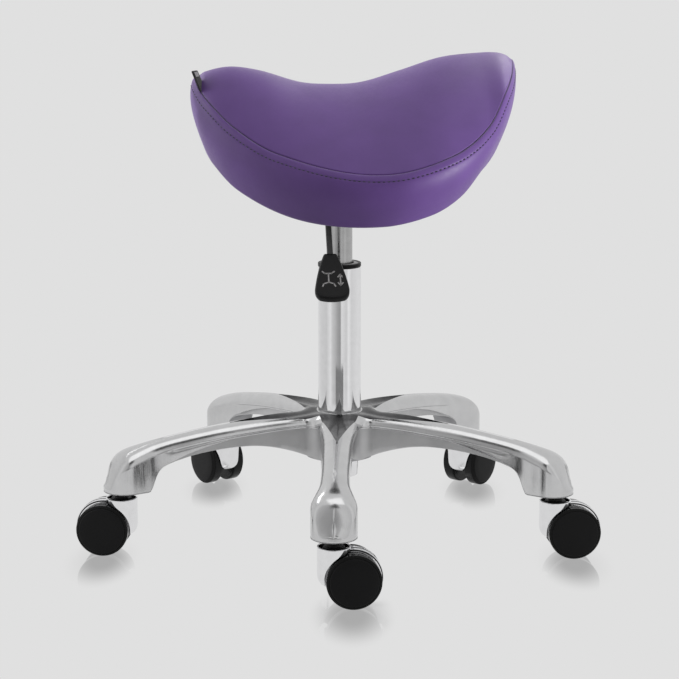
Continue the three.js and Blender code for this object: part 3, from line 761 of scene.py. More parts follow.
VALLEY_RIM = 26.5  # the ring round the hole stays polished within this radius
GROOVE_HALF = 1.0
GROOVE_DEPTH = 1.0
GROOVE_END = 212
BAYS = ((54, 96), (99.5, 160), (163.5, 216))
BAY_CEILING = 9
BAY_WALL = 4


def leg_half(r):
    return through(LEG_HALF, r)


TANGENT_HALF = leg_half(50)
FILLET_CENTRE = (TANGENT_HALF + CROTCH_ROUND) / math.sin(HALF_SECTOR)
FILLET_X = FILLET_CENTRE * math.cos(HALF_SECTOR)
FILLET_Y = FILLET_CENTRE * math.sin(HALF_SECTOR)
CROTCH = FILLET_CENTRE - CROTCH_ROUND


def fillet_point(turn, inset):
    """A point of the fillet: turn 0 is midway between two legs and 1 is on the leg's side."""
    angle = lerp(math.pi + HALF_SECTOR, 1.5 * math.pi, turn)
    radius = CROTCH_ROUND + inset
    return FILLET_X + radius * math.cos(angle), FILLET_Y + radius * math.sin(angle)


def side_line(r, inset):
    ease = math.exp(-((r - FILLET_X) / 9) ** 2) * (TANGENT_HALF - leg_half(FILLET_X))
    return r, leg_half(r) + ease - inset


def tip_point(turn, inset):
    """Round the foot: turn 0 is abeam of its centre and 1 is the leg's tip."""
    angle = (1 - turn) * math.pi / 2
    radius = FOOT_RADIUS - inset
    return FOOT_CENTRE + radius * math.cos(angle), radius * math.sin(angle)


def leg_stations():
    """(kind, number) for each column of a leg's half, from the column's hole to the tip."""
    ray = [("ray", lerp(HOLE_TOP, CROTCH, k / 12)) for k in range(12)]
    fillet = [("fillet", k / 14) for k in range(15)]
    first = math.ceil(FILLET_X) + 2
    places = list(np.arange(first, FOOT_CENTRE, 2.5))
    for begin, end in BAYS:
        places += [begin - 0.02, begin, end, end + 0.02]
    line = [("line", float(r)) for r in sorted(places)]
    tip = [("tip", k / 16) for k in range(17)]
    return ray + fillet + line + tip


def station_points(kind, number, inset=0.0):
    """The plan point on the leg's middle line, and the one on its outline, for a column."""
    if kind == "ray":
        share = (number - HOLE_TOP) / (CROTCH - HOLE_TOP)
        outer = (number * math.cos(HALF_SECTOR), number * math.sin(HALF_SECTOR))
        return (lerp(HOLE_TOP, HUB_MIDDLE, share), 0.0), outer
    if kind == "fillet":
        return (lerp(HUB_MIDDLE, FILLET_X + 4, number), 0.0), fillet_point(number, inset)
    if kind == "line":
        lead = 4 * math.exp(-(number - FILLET_X) / 14)
        return (number + lead, 0.0), side_line(number, inset)
    return (lerp(FOOT_CENTRE, FOOT_CENTRE + 16, number), 0.0), tip_point(number, inset)


def plan_point(kind, number, inner, outer, w):
    """A plan point at a share of the way out: round the hole near it, straight further out."""
    straight = (lerp(inner[0], outer[0], w), lerp(inner[1], outer[1], w))
    if kind in ("line", "tip"):
        return straight
    angle = math.atan2(outer[1], outer[0]) * w
    radius = lerp(inner[0], math.hypot(*outer), w * w)
    curved = (radius * math.cos(angle), radius * math.sin(angle))
    blend = number if kind == "fillet" else 0.0
    return lerp(curved[0], straight[0], blend), lerp(curved[1], straight[1], blend)


def outline_polyline():
    fillet = [fillet_point(t, 0) for t in np.linspace(0, 1, 24)]
    mirrored = []
    for x, y in fillet[1:]:  # the next leg's side of the same fillet
        angle = 2 * HALF_SECTOR
        mirrored.append((x * math.cos(angle) + y * math.sin(angle),
                         x * math.sin(angle) - y * math.cos(angle)))
    line = [side_line(r, 0) for r in np.arange(FILLET_X + 1, FOOT_CENTRE, 3)]
    tip = [tip_point(t, 0) for t in np.linspace(0, 1, 24)]
    return np.array(mirrored[::-1] + fillet + line + tip)


OUTLINE_POINTS = outline_polyline()


def outline_distance(x, y):
    """How far a plan point is from the legs' outline."""
    a, b = OUTLINE_POINTS[:-1], OUTLINE_POINTS[1:]
    edge = b - a
    along = ((np.array((x, y)) - a) * edge).sum(1) / np.maximum((edge ** 2).sum(1), 1e-9)
    nearest = a + np.clip(along, 0, 1)[:, None] * edge
    return float(np.linalg.norm(nearest - np.array((x, y)), axis=1).min())


def foot_share(r):
    return smoothstep(r, 205, 240)


def bead_depth(r):
    return min(BEAD_DEPTH + 3 * foot_share(r), through(LEG_TOP, r) - through(LEG_WEB, r) - 4)


def top_of_bead(x, y):
    """Height of the leg's rounded top, without its valley."""
    r = math.hypot(x, y) if x < FILLET_X else x + 0.08 * y
    reach = lerp(BEAD_REACH, 25, foot_share(x))
    reach = min(reach, max(leg_half(r), 12)) if x > FILLET_X else reach
    u = min(1.0, max(0.0, 1 - outline_distance(x, y) / reach))
    depth = bead_depth(r)
    return through(LEG_TOP, min(r, 279)) - depth * (1 - (1 - u ** 2.3) ** 0.5)


def valley_edge(x):
    """Half width of the valley at a place down the leg: wide at the hub, then a thin groove."""
    start = VALLEY_START * math.cos(HALF_SECTOR)
    wide = VALLEY_START * math.sin(HALF_SECTOR) * (VALLEY_END - x) / (VALLEY_END - start)
    return max(GROOVE_HALF, wide)


def valley_depth(x):
    share = min(1.0, max(0.0, (x - HOLE_TOP) / (VALLEY_END - HOLE_TOP)))
    wide = 1.6 + 4.2 * math.sin(math.pi * share ** 0.75)
    fade = 1 - smoothstep(x, 196, 226)
    return lerp(wide, GROOVE_DEPTH, smoothstep(x, VALLEY_END - 25, VALLEY_END)) * fade


VALLEY_ROWS = 8  # of a leg's upper face, from its middle line to the valley's edge
RAIL_ROWS = 18  # from there to the outline


def valley_share(kind, number, inner, outer):
    """The share of the way out at which a column crosses the valley's edge."""
    if kind == "ray" and number <= VALLEY_START:
        return 1.0
    low, high = 0.0, 1.0
    for _ in range(30):
        middle = (low + high) / 2
        x, y = plan_point(kind, number, inner, outer, middle)
        if y < valley_edge(x):
            low = middle
        else:
            high = middle
    return high


def top_column(kind, number):
    """A column of the leg's upper face, from its middle line out to its outline."""
    inner, outer = station_points(kind, number)
    edge = valley_share(kind, number, inner, outer)
    shares = [edge * k / VALLEY_ROWS for k in range(VALLEY_ROWS + 1)]
    shares += [lerp(edge, 1, math.sin(math.pi / 2 * k / RAIL_ROWS)) for k in range(1, RAIL_ROWS + 1)]
    column = []
    for k, w in enumerate(shares):
        x, y = plan_point(kind, number, inner, outer, w)
        z = top_of_bead(x, y)
        if k < VALLEY_ROWS or (kind == "ray" and number < VALLEY_START):
            z -= valley_depth(x) * (1 - (w / edge) ** 1.35)
            if kind == "ray" and number < VALLEY_START:
                z -= 1.5 * (1 - (number - HOLE_TOP) / (VALLEY_START - HOLE_TOP)) * w ** 1.35
        column.append((x, y, z))
    return column


def wall_column(kind, number, edge):
    """Down from the bead's edge: a fine groove, the smooth apron, then the web set further in."""
    r = station_points(kind, number)[1][0]
    bottom = through(LEG_WEB, r)
    apron = max(bottom, min(through(APRON, r), edge - 3))
    recess = WEB_INSET * min(1.0, (apron - bottom) / 3)
    room = min(1.0, (edge - apron) / 3)
    groove = GROOVE_DEPTH * (1 - smoothstep(r, 195, GROOVE_END))
    below = edge - 2.2 * room
    web_top = apron - 0.8 * room
    levels = [(0.0, edge), (0.2 * groove, edge - 0.5 * room), (groove, edge - 0.8 * room),
              (groove, edge - 1.3 * room), (0.3 * groove, edge - 1.7 * room), (0.1 * groove, below),
              (0.0, lerp(below, apron, 0.35)), (0.0, lerp(below, apron, 0.7)), (0.1, apron + 0.3 * room),
              (0.8, apron), (recess * 0.75, apron + 0.2), (recess, web_top)]
    levels += [(recess, lerp(web_top, bottom, share)) for share in (0.25, 0.5, 0.75, 0.94)]
    levels.append((recess + 0.8, bottom))
    return [(*station_points(kind, number, inset)[1], z) for inset, z in levels]


UNDER_SHARES = (0.0, 0.08, 0.16, 0.3, 0.45, 0.6, 0.8, 1.0)


def under_column(kind, number, wall_end):
    """In from the web's lower edge, up into the bay where there is one, to the middle line."""
    inner_x = station_points(kind, number)[0][0]
    x, edge_y, bottom = wall_end
    if kind == "line" and any(begin <= number <= end for begin, end in BAYS):
        y = max(0.0, edge_y - BAY_WALL)
        ceiling = through(LEG_TOP, x) - BAY_CEILING
        return [(x, y + 0.6, bottom), (x, y, bottom + 0.8), (x, y, ceiling - 4),
                (x, y - 1.2, ceiling - 1.2), (x, y - 4, ceiling), (x, y / 2, ceiling),
                (inner_x, 0.0, ceiling)]
    return [(lerp(x, inner_x, s), lerp(edge_y, 0.0, s), bottom) for s in UNDER_SHARES[1:]]


def ray_under(number):
    """The hub's flat underside, inwards of the fillet."""
    share = (number - HOLE_TOP) / (CROTCH - HOLE_TOP)
    radius = lerp(HOLE_BOTTOM, CROTCH - WEB_INSET, share)
    outer = (radius * math.cos(HALF_SECTOR), radius * math.sin(HALF_SECTOR))
    inner = (lerp(HOLE_BOTTOM, HUB_MIDDLE, share), 0.0)
    rows = []
    for s in UNDER_SHARES:
        x, y = plan_point("ray", number, inner, outer, 1 - s)
        rows.append((x, y, through(LEG_WEB, math.hypot(x, y) * lerp(1, 0.9, s))))
    return rows


def leg_half_skin():
    """Half of one leg, as columns: upper face, wall, underside, the hub's underside, and its hole."""
    stations = leg_stations()
    tops = [top_column(*s) for s in stations]
    rays = [s for s in stations if s[0] == "ray"]
    walls, unders = [], []
    for station, top in list(zip(stations, tops))[len(rays):]:
        wall = wall_column(*station, top[-1][2])
        walls.append(wall)
        unders.append([wall[-1]] + under_column(*station, wall[-1]))
    hub = [ray_under(number) for _, number in rays] + [unders[0]]
    taper = HOLE_BOTTOM / HOLE_TOP
    floor = hub[0][0][2]
    hole = [tops[0], [(taper * x, taper * y, floor) for x, y, _ in tops[0]]]
    return tops, walls, unders, hub, hole


WEB_FROM_ROW = 9  # of a wall's column: the rows above are polished, and the web below is satin, darkened with painted shade


def star_base_mesh():
    """Ten half legs, every other one mirrored. Slots: polished, satin with painted shade, raw casting,
    painted valley shade.
    """
    tops, walls, unders, hub, hole = leg_half_skin()
    # dark marks the valley faces that take the painted valley shade
    dark = [VALLEY_RIM < math.hypot(*top[VALLEY_ROWS][:2]) and top[0][0] < VALLEY_END for top in tops]
    skin = Skin()
    for k in range(LEG_COUNT):
        turn = BASE_TURN - math.pi / 2 + 2 * math.pi * k / LEG_COUNT
        c, s = math.cos(turn), math.sin(turn)
        for mirror in (1, -1):
            def placed(rows):
                return [[(x * c - y * mirror * s, x * s + y * mirror * c, z) for x, y, z in row]
                        for row in rows]

            skin.grid(placed(tops), lambda i, j: 3 if j < VALLEY_ROWS and dark[i] else 0)
            skin.grid(placed(walls), lambda i, j: 1 if j >= WEB_FROM_ROW else 0)
            for rough in (unders, hub, hole):
                skin.grid(placed(rough), 2)
    return skin.mesh("star_base_casting", weld=0.01, sharp=32)


def build_star_base():
    piece("star_base_casting", star_base_mesh(), "base", [POLISHED, SATIN_AND_SHADE, CASTING, VALLEY_SHADE],
          ["star_base"])


# ------------------------------------------------------------------ column
TUBE_BORE = 15.5
TUBE_FOOT = 21.5  # its radius at the bottom of the taper in the hub
TUBE_TAPER_TOP = 150
RING_BORE = 15.8
CYLINDER_RADIUS = 14.9
CYLINDER_TAPER_START = 373


def tube_radius():
    low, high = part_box("lift_outer_tube")
    return (high.x - low.x) / 2 / MM


def tube_profile():
    bottom, top = span_of("lift_outer_tube")
    radius = tube_radius()
    return [(TUBE_BORE, bottom + 0.4), (TUBE_FOOT - 0.6, bottom), (TUBE_FOOT, bottom + 0.6),
            (radius, TUBE_TAPER_TOP), (radius, top - 1), *arc(radius - 1, top - 1, 1, 0, 90, 5),
            (22.5, top), (22.5, 200), (TUBE_BORE, 200), (TUBE_BORE, bottom + 0.4)]


def ring_profile():
    """Two tiers with a groove between them, and a shallow bright groove in the top."""
    low, high = span_of("top_ring")
    middle = lerp(low, high, 0.5)
    r = tube_radius()
    return [(RING_BORE, low), (r - 0.4, low), (r, low + 0.4), (r, middle - 0.6), (r - 0.5, middle - 0.2),
            (r - 0.5, middle + 0.2), (r, middle + 0.6), (r, high - 0.9),
            *arc(r - 0.8, high - 0.8, 0.8, 0, 90, 5), (r - 3.0, high), (r - 3.4, high - 0.5),
            (r - 5.4, high - 0.5), (r - 5.8, high), (RING_BORE + 1.5, high), (RING_BORE + 0.3, high - 0.9),
            (RING_BORE, high - 1.6), (RING_BORE, low)]


def cylinder_profile():
    bottom, top = span_of("gas_cylinder")
    return [(0, bottom), (CYLINDER_RADIUS - 1.3, bottom), (CYLINDER_RADIUS, bottom + 1.2),
            (CYLINDER_RADIUS, CYLINDER_TAPER_START), (13.4, top - 0.6), (12.8, top), (0, top)]


def build_column():
    tube = turned_mesh("column_tube", tube_profile(), 128)
    piece("column_tube", tube, "base", [CHROME], ["lift_outer_tube"])
    ring = turned_mesh("column_ring", ring_profile(), 128, slot=lambda j: 1 if 15 <= j < 18 else 0)
    piece("column_ring", ring, "base", [PLASTIC, STEEL], ["top_ring"])
    cylinder = turned_mesh("lift_cylinder", cylinder_profile(), 96)
    piece("lift_cylinder", cylinder, "seat", [CYLINDER_STEEL], ["gas_cylinder"])


# ------------------------------------------------------------------ lever
# The lever lies in the seat's own frame: its pivot on X, its rod sloping down towards -Y.
PIVOT_Y = -22
PIVOT_Z = 404
LEVER_X = -16.5
PADDLE_TOP = -75.8
SLOPE = 1.07
PADDLE = {"top_half": 7.6, "wide_half": 19.1, "length": 61}
ROD_HALF = (3.4, 2.6)  # half its width and half its thickness
ROD_SIDES = 20
ROD_BENDS = ((-4, -1.6), (-8, -4.6))  # from the pivot, where the rod turns down


def lever_height(y):
    return 361 + SLOPE * (y + 60)


def rod_line():
    """Points along the middle of the rod, from its pivot into the paddle."""
    route = [(PIVOT_Y, PIVOT_Z)] + [(PIVOT_Y + y, PIVOT_Z + z) for y, z in ROD_BENDS]
    route += [(-38, lever_height(-36)), (-45, lever_height(-44))]
    route += [(y, lever_height(y)) for y in (-56, -66, -78, PADDLE_TOP - 12)]
    fine = []
    for k, (start, end) in enumerate(zip(route, route[1:])):
        fine += [(lerp(start[0], end[0], t), lerp(start[1], end[1], t))
                 for t in np.linspace(0, 1, 5, endpoint=k == len(route) - 2)]
    return fine


def squircle(size, angle):
    """The two sides of a point on a rounded oblong."""
    c, s = math.cos(angle), math.sin(angle)
    return size[0] * math.copysign(abs(c) ** 0.6, c), size[1] * math.copysign(abs(s) ** 0.6, s)


def build_lever_stem():
    """A flat strip with rounded edges, bent at its pivot and run into the paddle."""
    line = rod_line()
    rows = []
    for k, (y, z) in enumerate(line):
        before, after = line[max(0, k - 1)], line[min(len(line) - 1, k + 1)]
        length = math.hypot(after[0] - before[0], after[1] - before[1])
        ny, nz = (after[1] - before[1]) / length, -(after[0] - before[0]) / length
        ring = [squircle(ROD_HALF, a) for a in ring_angles(ROD_SIDES)]
        rows.append([(LEVER_X + u, y + v * ny, z + v * nz) for u, v in ring])
    skin = Skin()
    skin.grid(rows, wrap=True)
    skin.cap(rows[0])
    skin.cap(rows[-1])
    add_pivot(skin, 5.5, 19.7)
    add_block(skin, (-3.5, 3.5), (PIVOT_Y - 1, PIVOT_Y + 24), (PIVOT_Z + 3, PIVOT_Z + 7))
    mesh = skin.mesh("lever_stem", weld=0.002)
    piece("lever_stem", mesh, "lever", [POWDER], ["lever_rod"], SEAT_MATRIX)


def add_pivot(skin, radius, half_length, segments=48):
    """The lever's capped cross bar, with eased ends."""
    profile = [(0, -half_length), (radius - 0.6, -half_length), (radius, -half_length + 0.6),
               (radius, half_length - 0.6), (radius - 0.6, half_length), (0, half_length)]
    rows = [[(x, PIVOT_Y + r * math.cos(a), PIVOT_Z + r * math.sin(a)) for r, x in profile]
            for a in ring_angles(segments)]
    skin.grid(rows + rows[:1])


def add_block(skin, xs, ys, zs, ease=0.5):
    """A block with eased edges all round its length."""
    (x0, x1), (z0, z1) = xs, zs
    ring = [(x0 + ease, z0), (x1 - ease, z0), (x1, z0 + ease), (x1, z1 - ease), (x1 - ease, z1),
            (x0 + ease, z1), (x0, z1 - ease), (x0, z0 + ease)]
    rows = [[(x, y, z) for x, z in ring] for y in ys]
    skin.grid(rows, wrap=True)
    skin.cap(rows[0])
    skin.cap(rows[1])


def bezier(a, b, c, steps=8):
    """Points of a quadratic curve, without its first point."""
    made = []
    for k in range(1, steps + 1):
        t = k / steps
        made.append(tuple((1 - t) ** 2 * a[i] + 2 * t * (1 - t) * b[i] + t * t * c[i] for i in range(2)))
    return made


def paddle_outline():
    """(across, along) points round the paddle, from the right of its top end."""
    top, wide, length = PADDLE["top_half"], PADDLE["wide_half"], PADDLE["length"]
    right = [(top - 2.5, 0.0)]
    for control, end in (((top - 0.3, 0), (top + 0.6, -3)), ((top + 8, -22.5), (wide, -length + 15)),
                         ((wide + 0.7, -length + 6), (wide - 5, -length + 2)),
                         ((wide / 2.4, -length), (0, -length))):
        right += bezier(right[-1], control, end)
    return right + [(-x, y) for x, y in right[-2::-1]]


# (out of the lever's plane, drawn in from the outline) for each ring of the paddle.
PADDLE_LAYERS = ((-5.0, 2.4), (-4.7, 1.7), (-3.8, 0.8), (-2.4, 0.1), (0.0, 0.0), (2.2, 0.1), (3.5, 0.7),
                 (4.2, 1.5), (4.5, 2.4))
PADDLE_BACK = -5.0
PADDLE_FACE = 4.2  # the middle of each side, out from the lever's own plane
SPINE = (14 - PADDLE["length"], -8)  # each side closes on a line that runs between these


def inset_outline(points, inset):
    """The outline drawn in by a distance along its normals."""
    made = []
    count = len(points)
    for k in range(count):
        (ax, ay), (bx, by) = points[k - 1], points[(k + 1) % count]
        size = math.hypot(bx - ax, by - ay) or 1.0
        x, y = points[k]
        made.append((x + (by - ay) / size * inset, y - (bx - ax) / size * inset))
    return made


def tipped(x, along, out):
    """From the paddle's flat drawing to the seat's frame: along its slope, and out of its face."""
    slope = math.atan(SLOPE)
    return (LEVER_X + x, PADDLE_TOP + along * math.cos(slope) - out * math.sin(slope),
            lever_height(PADDLE_TOP) + along * math.sin(slope) + out * math.cos(slope))


def build_paddle():
    outline = paddle_outline()
    rows = [[tipped(x, y, out) for x, y in inset_outline(outline, inset)] for out, inset in PADDLE_LAYERS]
    skin = Skin()
    skin.grid(rows, wrap=True)
    spine = [(0.0, min(SPINE[1], max(SPINE[0], y))) for _, y in outline]
    for row, out in ((rows[0], PADDLE_BACK), (rows[-1], PADDLE_FACE)):
        half_way = [tipped(lerp(x, sx, 0.4), lerp(y, sy, 0.4), out)
                    for (x, y), (sx, sy) in zip(outline, spine)]
        skin.grid([row, half_way, [tipped(x, y, out) for x, y in spine]], wrap=True)
    mesh = skin.mesh("paddle", weld=0.002)
    piece("paddle", mesh, "lever", [PLASTIC], ["lever_paddle"], SEAT_MATRIX)
    piece("paddle_mark", mark_mesh(), "lever", [MARK], matrix=SEAT_MATRIX)


# Each stroke of the mark, (x, along) from the paddle's top: a seat, its column and feet, and two arrows.
MARK_STROKES = (((-10, -25), (-7.5, -27.5), (0, -27.5), (3, -25)), ((-3.5, -28), (-3.5, -39)),
                ((-10.5, -44), (-9, -41), (-3.5, -39), (2, -41), (3.5, -44)),
                ((9.5, -29), (9.5, -43)), ((7, -32), (9.5, -29), (12, -32)),
                ((7, -40), (9.5, -43), (12, -40)))
MARK_HALF = 0.8
MARK_THICK = 0.15


def mark_mesh():
    """A simple picture of a stool with an arrow up and one down, printed on the paddle's face."""
    skin = Skin()
    for stroke in MARK_STROKES:
        for (ax, ay), (bx, by) in zip(stroke, stroke[1:]):
            length = math.hypot(bx - ax, by - ay)
            ux, uy = (bx - ax) / length * MARK_HALF, (by - ay) / length * MARK_HALF
            corners = [(ax - ux - uy, ay - uy + ux), (bx + ux - uy, by + uy + ux),
                       (bx + ux + uy, by + uy - ux), (ax - ux + uy, ay - uy - ux)]
            rows = [[tipped(x, y, PADDLE_FACE + rise) for x, y in corners] for rise in (0, MARK_THICK)]
            skin.grid(rows, wrap=True)
            for row in rows:
                skin.grid([row[:2], row[:1:-1]])
    return skin.mesh("paddle_mark", weld=0.0001)


# ------------------------------------------------------------------ casters
# Drawn on the caster's own frame, and about its axle where a shape is given as (radius, y).
BARREL_RADIUS = 18
WEB_HALF = 7.5
HOOD_RADIUS = 32.6
TRAIL = 19.5
POCKET_ROOM = 1.5  # between the wheel and the barrel that is cut out for it


def caster_matrix(name):
    """The caster's own frame: its swivel axis on Z, trailing towards +X."""
    stem = centre_of(f"caster_stem_{name}")
    axle = centre_of(f"caster_axle_{name}")
    angle = math.atan2(axle.y - stem.y, axle.x - stem.x)
    return Matrix.Translation((stem.x, stem.y, 0)) @ Matrix.Rotation(angle, 4, "Z")


def axle_height():
    return centre_of("caster_axle_front").z / MM


def about_axle(profile, angles=None):
    """Rows of points turned about the axle, all the way round unless angles are given."""
    height = axle_height()
    angles = angles or ring_angles(96) + [0.0]
    return [[(TRAIL + r * math.sin(a), y, height + r * math.cos(a)) for r, y in profile] for a in angles]


def wheel_profile():
    """(radius, distance out from the caster's middle) for a wheel: bore, tread, shoulder, face."""
    tread = axle_height() - 0.03
    return [(3.3, 8.8), (24, 8.8), (24.4, 9.3), (26.5, 9.3), (27, 8.9), (tread - 1.6, 8.9),
            *arc(tread - 1.6, 10.5, 1.6, -90, 0, 4), (tread, 20.0),
            *arc(tread - 1.6, 20.2, 1.6, 0, 60, 6), (27.4, 22.7), (27.1, 22.8), (26.9, 22.55),
            (26.6, 22.55), (26.4, 22.9), (26.0, 23.5), (25.0, 23.9), (16, 24.2), (7, 24.4), (0, 24.45)]


def wheel_mesh():
    """A wheel with its face towards +Y. Slots: tread, face, shoulder."""
    profile = wheel_profile()
    shoulder_from = next(k for k, (r, y) in enumerate(profile) if y > 20.1)
    face = range(next(k for k, (r, y) in enumerate(profile) if y > 22.5 and r < 26.7), len(profile) - 1)
    bore_end = (profile[0][0], 21.0)
    skin = Skin()
    skin.grid(about_axle(profile + [bore_end]),
              lambda i, j: 1 if j in face else 2 if j >= shoulder_from else 0)
    return skin.mesh("caster_wheel", sharp=38)


def bar_mesh(name, profile, slots=None):
    """A solid turned about the axle, with a material slot for each step of its profile."""
    skin = Skin()
    skin.grid(about_axle(profile), (lambda i, j: slots[j]) if slots else 0)
    return skin.mesh(name)


def cut(body, tool, operation="DIFFERENCE"):
    """body with tool taken away, or joined on, by a boolean that is applied at once."""
    modifier = body.modifiers.new("cut", "BOOLEAN")
    modifier.operation = operation
    modifier.object = tool
    modifier.solver = "EXACT"
    bpy.context.view_layer.update()
    evaluated = body.evaluated_get(bpy.context.evaluated_depsgraph_get())
    mesh = bpy.data.meshes.new_from_object(evaluated)
    body.modifiers.clear()
    body.data = mesh
    bpy.data.objects.remove(tool)


def loose(name, mesh, material=None):
    made = bpy.data.objects.new(name, mesh)
    bpy.context.scene.collection.objects.link(made)
    if material and not mesh.materials:
        mesh.materials.append(material)
    return made


def web_profile():
    """The hood's web across its rim: two rounded beads with a fine groove outside each."""
    steps = ((1.9, WEB_HALF), (0.9, WEB_HALF - 0.2), (0.7, WEB_HALF - 1.5), (0.1, WEB_HALF - 1.9),
             (0.0, WEB_HALF - 3.2), (0.3, 1.4), (0.4, 0.6))
    half = [(HOOD_RADIUS - lower, y) for lower, y in steps]
    return [(0, -WEB_HALF), *[(r, -y) for r, y in half], *half[::-1], (0, WEB_HALF)]


RIM_REFLECTION_SLOTS = (0, 1, 1, 0, 0, 0, 1, 1, 1, 0, 0, 0, 1, 1, 0)  # chrome, or black where a dark reflection along the edges and the middle groove is painted


def barrel_profile():
    r = BARREL_RADIUS
    return [(0, 21), (8, 21.2), (11.5, 22), (14.5, 24), (16.6, 27), (17.7, 31), (r, 36), (r, 63.5),
            *arc(r - 0.7, 63.6, 0.7, 0, 90, 3), (r - 1.5, 64.3), (r - 1.9, 63.6), (r - 2.1, 58.5),
            (0, 58.2)]


def hood_mesh():
    """The chromed barrel and the web between the wheels, with the black recess in the barrel's top."""
    barrel = barrel_profile()
    recess_from = len(barrel) - 3
    body = loose("hood", turned_mesh("barrel", barrel, 96, slot=lambda j: 1 if j >= recess_from else 0))
    web = loose("web", bar_mesh("web", web_profile(), RIM_REFLECTION_SLOTS))
    for made in (body, web):
        made.data.materials.append(CHROME)
        made.data.materials.append(PLASTIC)
    height = axle_height()
    lower = Skin()
    add_block(lower, (TRAIL - 60, TRAIL + 60), (-20, 20), (height - 60, height - 4), 0.2)
    cut(web, loose("lower", lower.mesh("lower"), CHROME))
    bore = BARREL_RADIUS - 2.2
    inside = [(0, 21), (bore, 21), (bore, 70), (0, 70)]
    cut(web, loose("inside", turned_mesh("inside", inside, 64), CHROME))
    cut(body, web, "UNION")
    pocket = height + POCKET_ROOM
    for near, far in ((WEB_HALF, 40), (-40, -WEB_HALF)):
        tool = bar_mesh("pocket", [(0, near), (pocket, near), (pocket, far), (0, far)])
        cut(body, loose("pocket", tool, CHROME))
    mesh = body.data
    bpy.data.objects.remove(body)
    smooth(mesh, 32)
    return mesh


def stem_mesh():
    """The swivel stem: a black collar in the barrel's recess, a ringed neck, and the pin above it."""
    profile = [(0, 55), (4.6, 55), (4.6, 60), (10.6, 60.2), (11.3, 60.8), (11.5, 62), (11.5, 63.6),
               (10.9, 64.3), (8.2, 64.5), (7.8, 65.3), (7.8, 68.2), (8.6, 68.6), (8.6, 69.6), (7.8, 70),
               (7.8, 72.5), (5.2, 72.7), (5.2, 90), (0, 90)]
    collar, neck = range(3, 10), range(14, len(profile))
    return turned_mesh("caster_stem", profile, 64, slot=lambda j: 1 if j in collar or j in neck else 0)


LINER = {"from": -52, "to": 78, "radii": (30.7, 31.6), "beyond": (-0.3, 0.5)}


def liner_mesh():
    """The black liner seen under the hood's edge, on each side of the web."""
    near, far = (WEB_HALF + step for step in LINER["beyond"])
    low, high = LINER["radii"]
    angles = [math.radians(lerp(LINER["from"], LINER["to"], k / 40)) for k in range(41)]
    skin = Skin()
    for side in (1, -1):
        section = [(low, side * near), (low, side * far), (high, side * far), (high, side * near)]
        rows = about_axle(section, angles)
        skin.grid(rows, wrap=True)
        skin.cap(rows[0])
        skin.cap(rows[-1])
    return skin.mesh("caster_liner")


def block_mesh():
    """The small black stop at the top of each wheel's pocket, against the barrel."""
    skin = Skin()
    for side in (1, -1):
        ys = sorted((side * (WEB_HALF - 0.4), side * (WEB_HALF + 5.2)))
        add_block(skin, (8.0, 14.5), tuple(ys), (59.4, 63.4), 0.9)
    return skin.mesh("caster_stop")


def build_casters():
    wheel, hood, stem, liner, stop = wheel_mesh(), hood_mesh(), stem_mesh(), liner_mesh(), block_mesh()
    wheel_finishes = [TREAD, WHEEL_FACE, SHOULDER]
    # The second wheel is the first one, turned half way round about the upright line at the axle.
    turned = Matrix.Translation((TRAIL * MM, 0, 0)) @ Matrix.Rotation(math.pi, 4, "Z")
    turned = turned @ Matrix.Translation((-TRAIL * MM, 0, 0))
    for name in CASTERS:
        matrix = caster_matrix(name)
        body = f"caster_{name}"
        piece(f"hood_{name}", hood, body, [CHROME, PLASTIC], [f"caster_hood_{name}"], matrix)
        piece(f"swivel_stem_{name}", stem, "base", [CHROME, PLASTIC],
              [f"caster_stem_{name}"], matrix)
        piece(f"hood_liner_{name}", liner, body, [PLASTIC], matrix=matrix)
        piece(f"hood_stop_{name}", stop, body, [PLASTIC], matrix=matrix)
        for side, place in (("a", matrix), ("b", matrix @ turned)):
            wheel_name = f"wheel_{side}_{name}"
            piece(f"tyre_{side}_{name}", wheel, wheel_name, wheel_finishes, [wheel_name], place)


# ------------------------------------------------------------------ CAD nodes that are shown as they are
NODE_FINISHES = (
    ("seat_pan", PLYWOOD), ("bottom_cover", DUST_CLOTH), ("mount_plate", POWDER), ("taper_hub", POWDER),
    ("plate_bolt", STEEL), ("lever_pivot_pin", STEEL), ("release_button", PLASTIC), ("guide_bush", PLASTIC),
    ("thrust_", STEEL), ("bump_stop", RUBBER), ("piston_rod", STEEL), ("retaining_clip", STEEL),
    ("piston_head", PLASTIC), ("cylinder_end_cap", PLASTIC), ("caster_bush", PLASTIC),
    ("caster_axle", STEEL),
)


def finish_cad_nodes():
    for name, node in frame["nodes"].items():
        if node.hide_render:
            continue
        material = next(m for prefix, m in NODE_FINISHES if name.startswith(prefix))
        node.data.materials.clear()
        node.data.materials.append(material)


# ------------------------------------------------------------------ stage, light and camera
PAPER = srgb("e0e0e0")[0]


FLOOR_DIFFUSE = 0.25  # how much of the floor's glow lights matt surfaces
WORLD_DIFFUSE = 0.3


def emitting(name, strength, keep_diffuse=1.0):
    """A plain glowing surface that may count for less in diffuse light."""
    material = bpy.data.materials.new(name)
    material.use_nodes = True
    nodes = Nodes(material.node_tree)
    nodes.tree.nodes.clear()
    output = nodes.node("ShaderNodeOutputMaterial")
    glow = nodes.node("ShaderNodeEmission", Color=(1, 1, 1, 1))
    nodes.link(nodes.dimmed(strength, keep_diffuse), glow.inputs["Strength"])
    nodes.link(glow.outputs["Emission"], output.inputs["Surface"])
    return material, nodes, glow, output


def clear_behind(nodes, shader, output):
    """Shows the shader on the surface's front and nothing on its back."""
    side = nodes.node("ShaderNodeNewGeometry")
    clear = nodes.node("ShaderNodeBsdfTransparent")
    both = nodes.mixed(side.outputs["Backfacing"], shader, clear.outputs["BSDF"])
    nodes.link(both, output.inputs["Surface"])


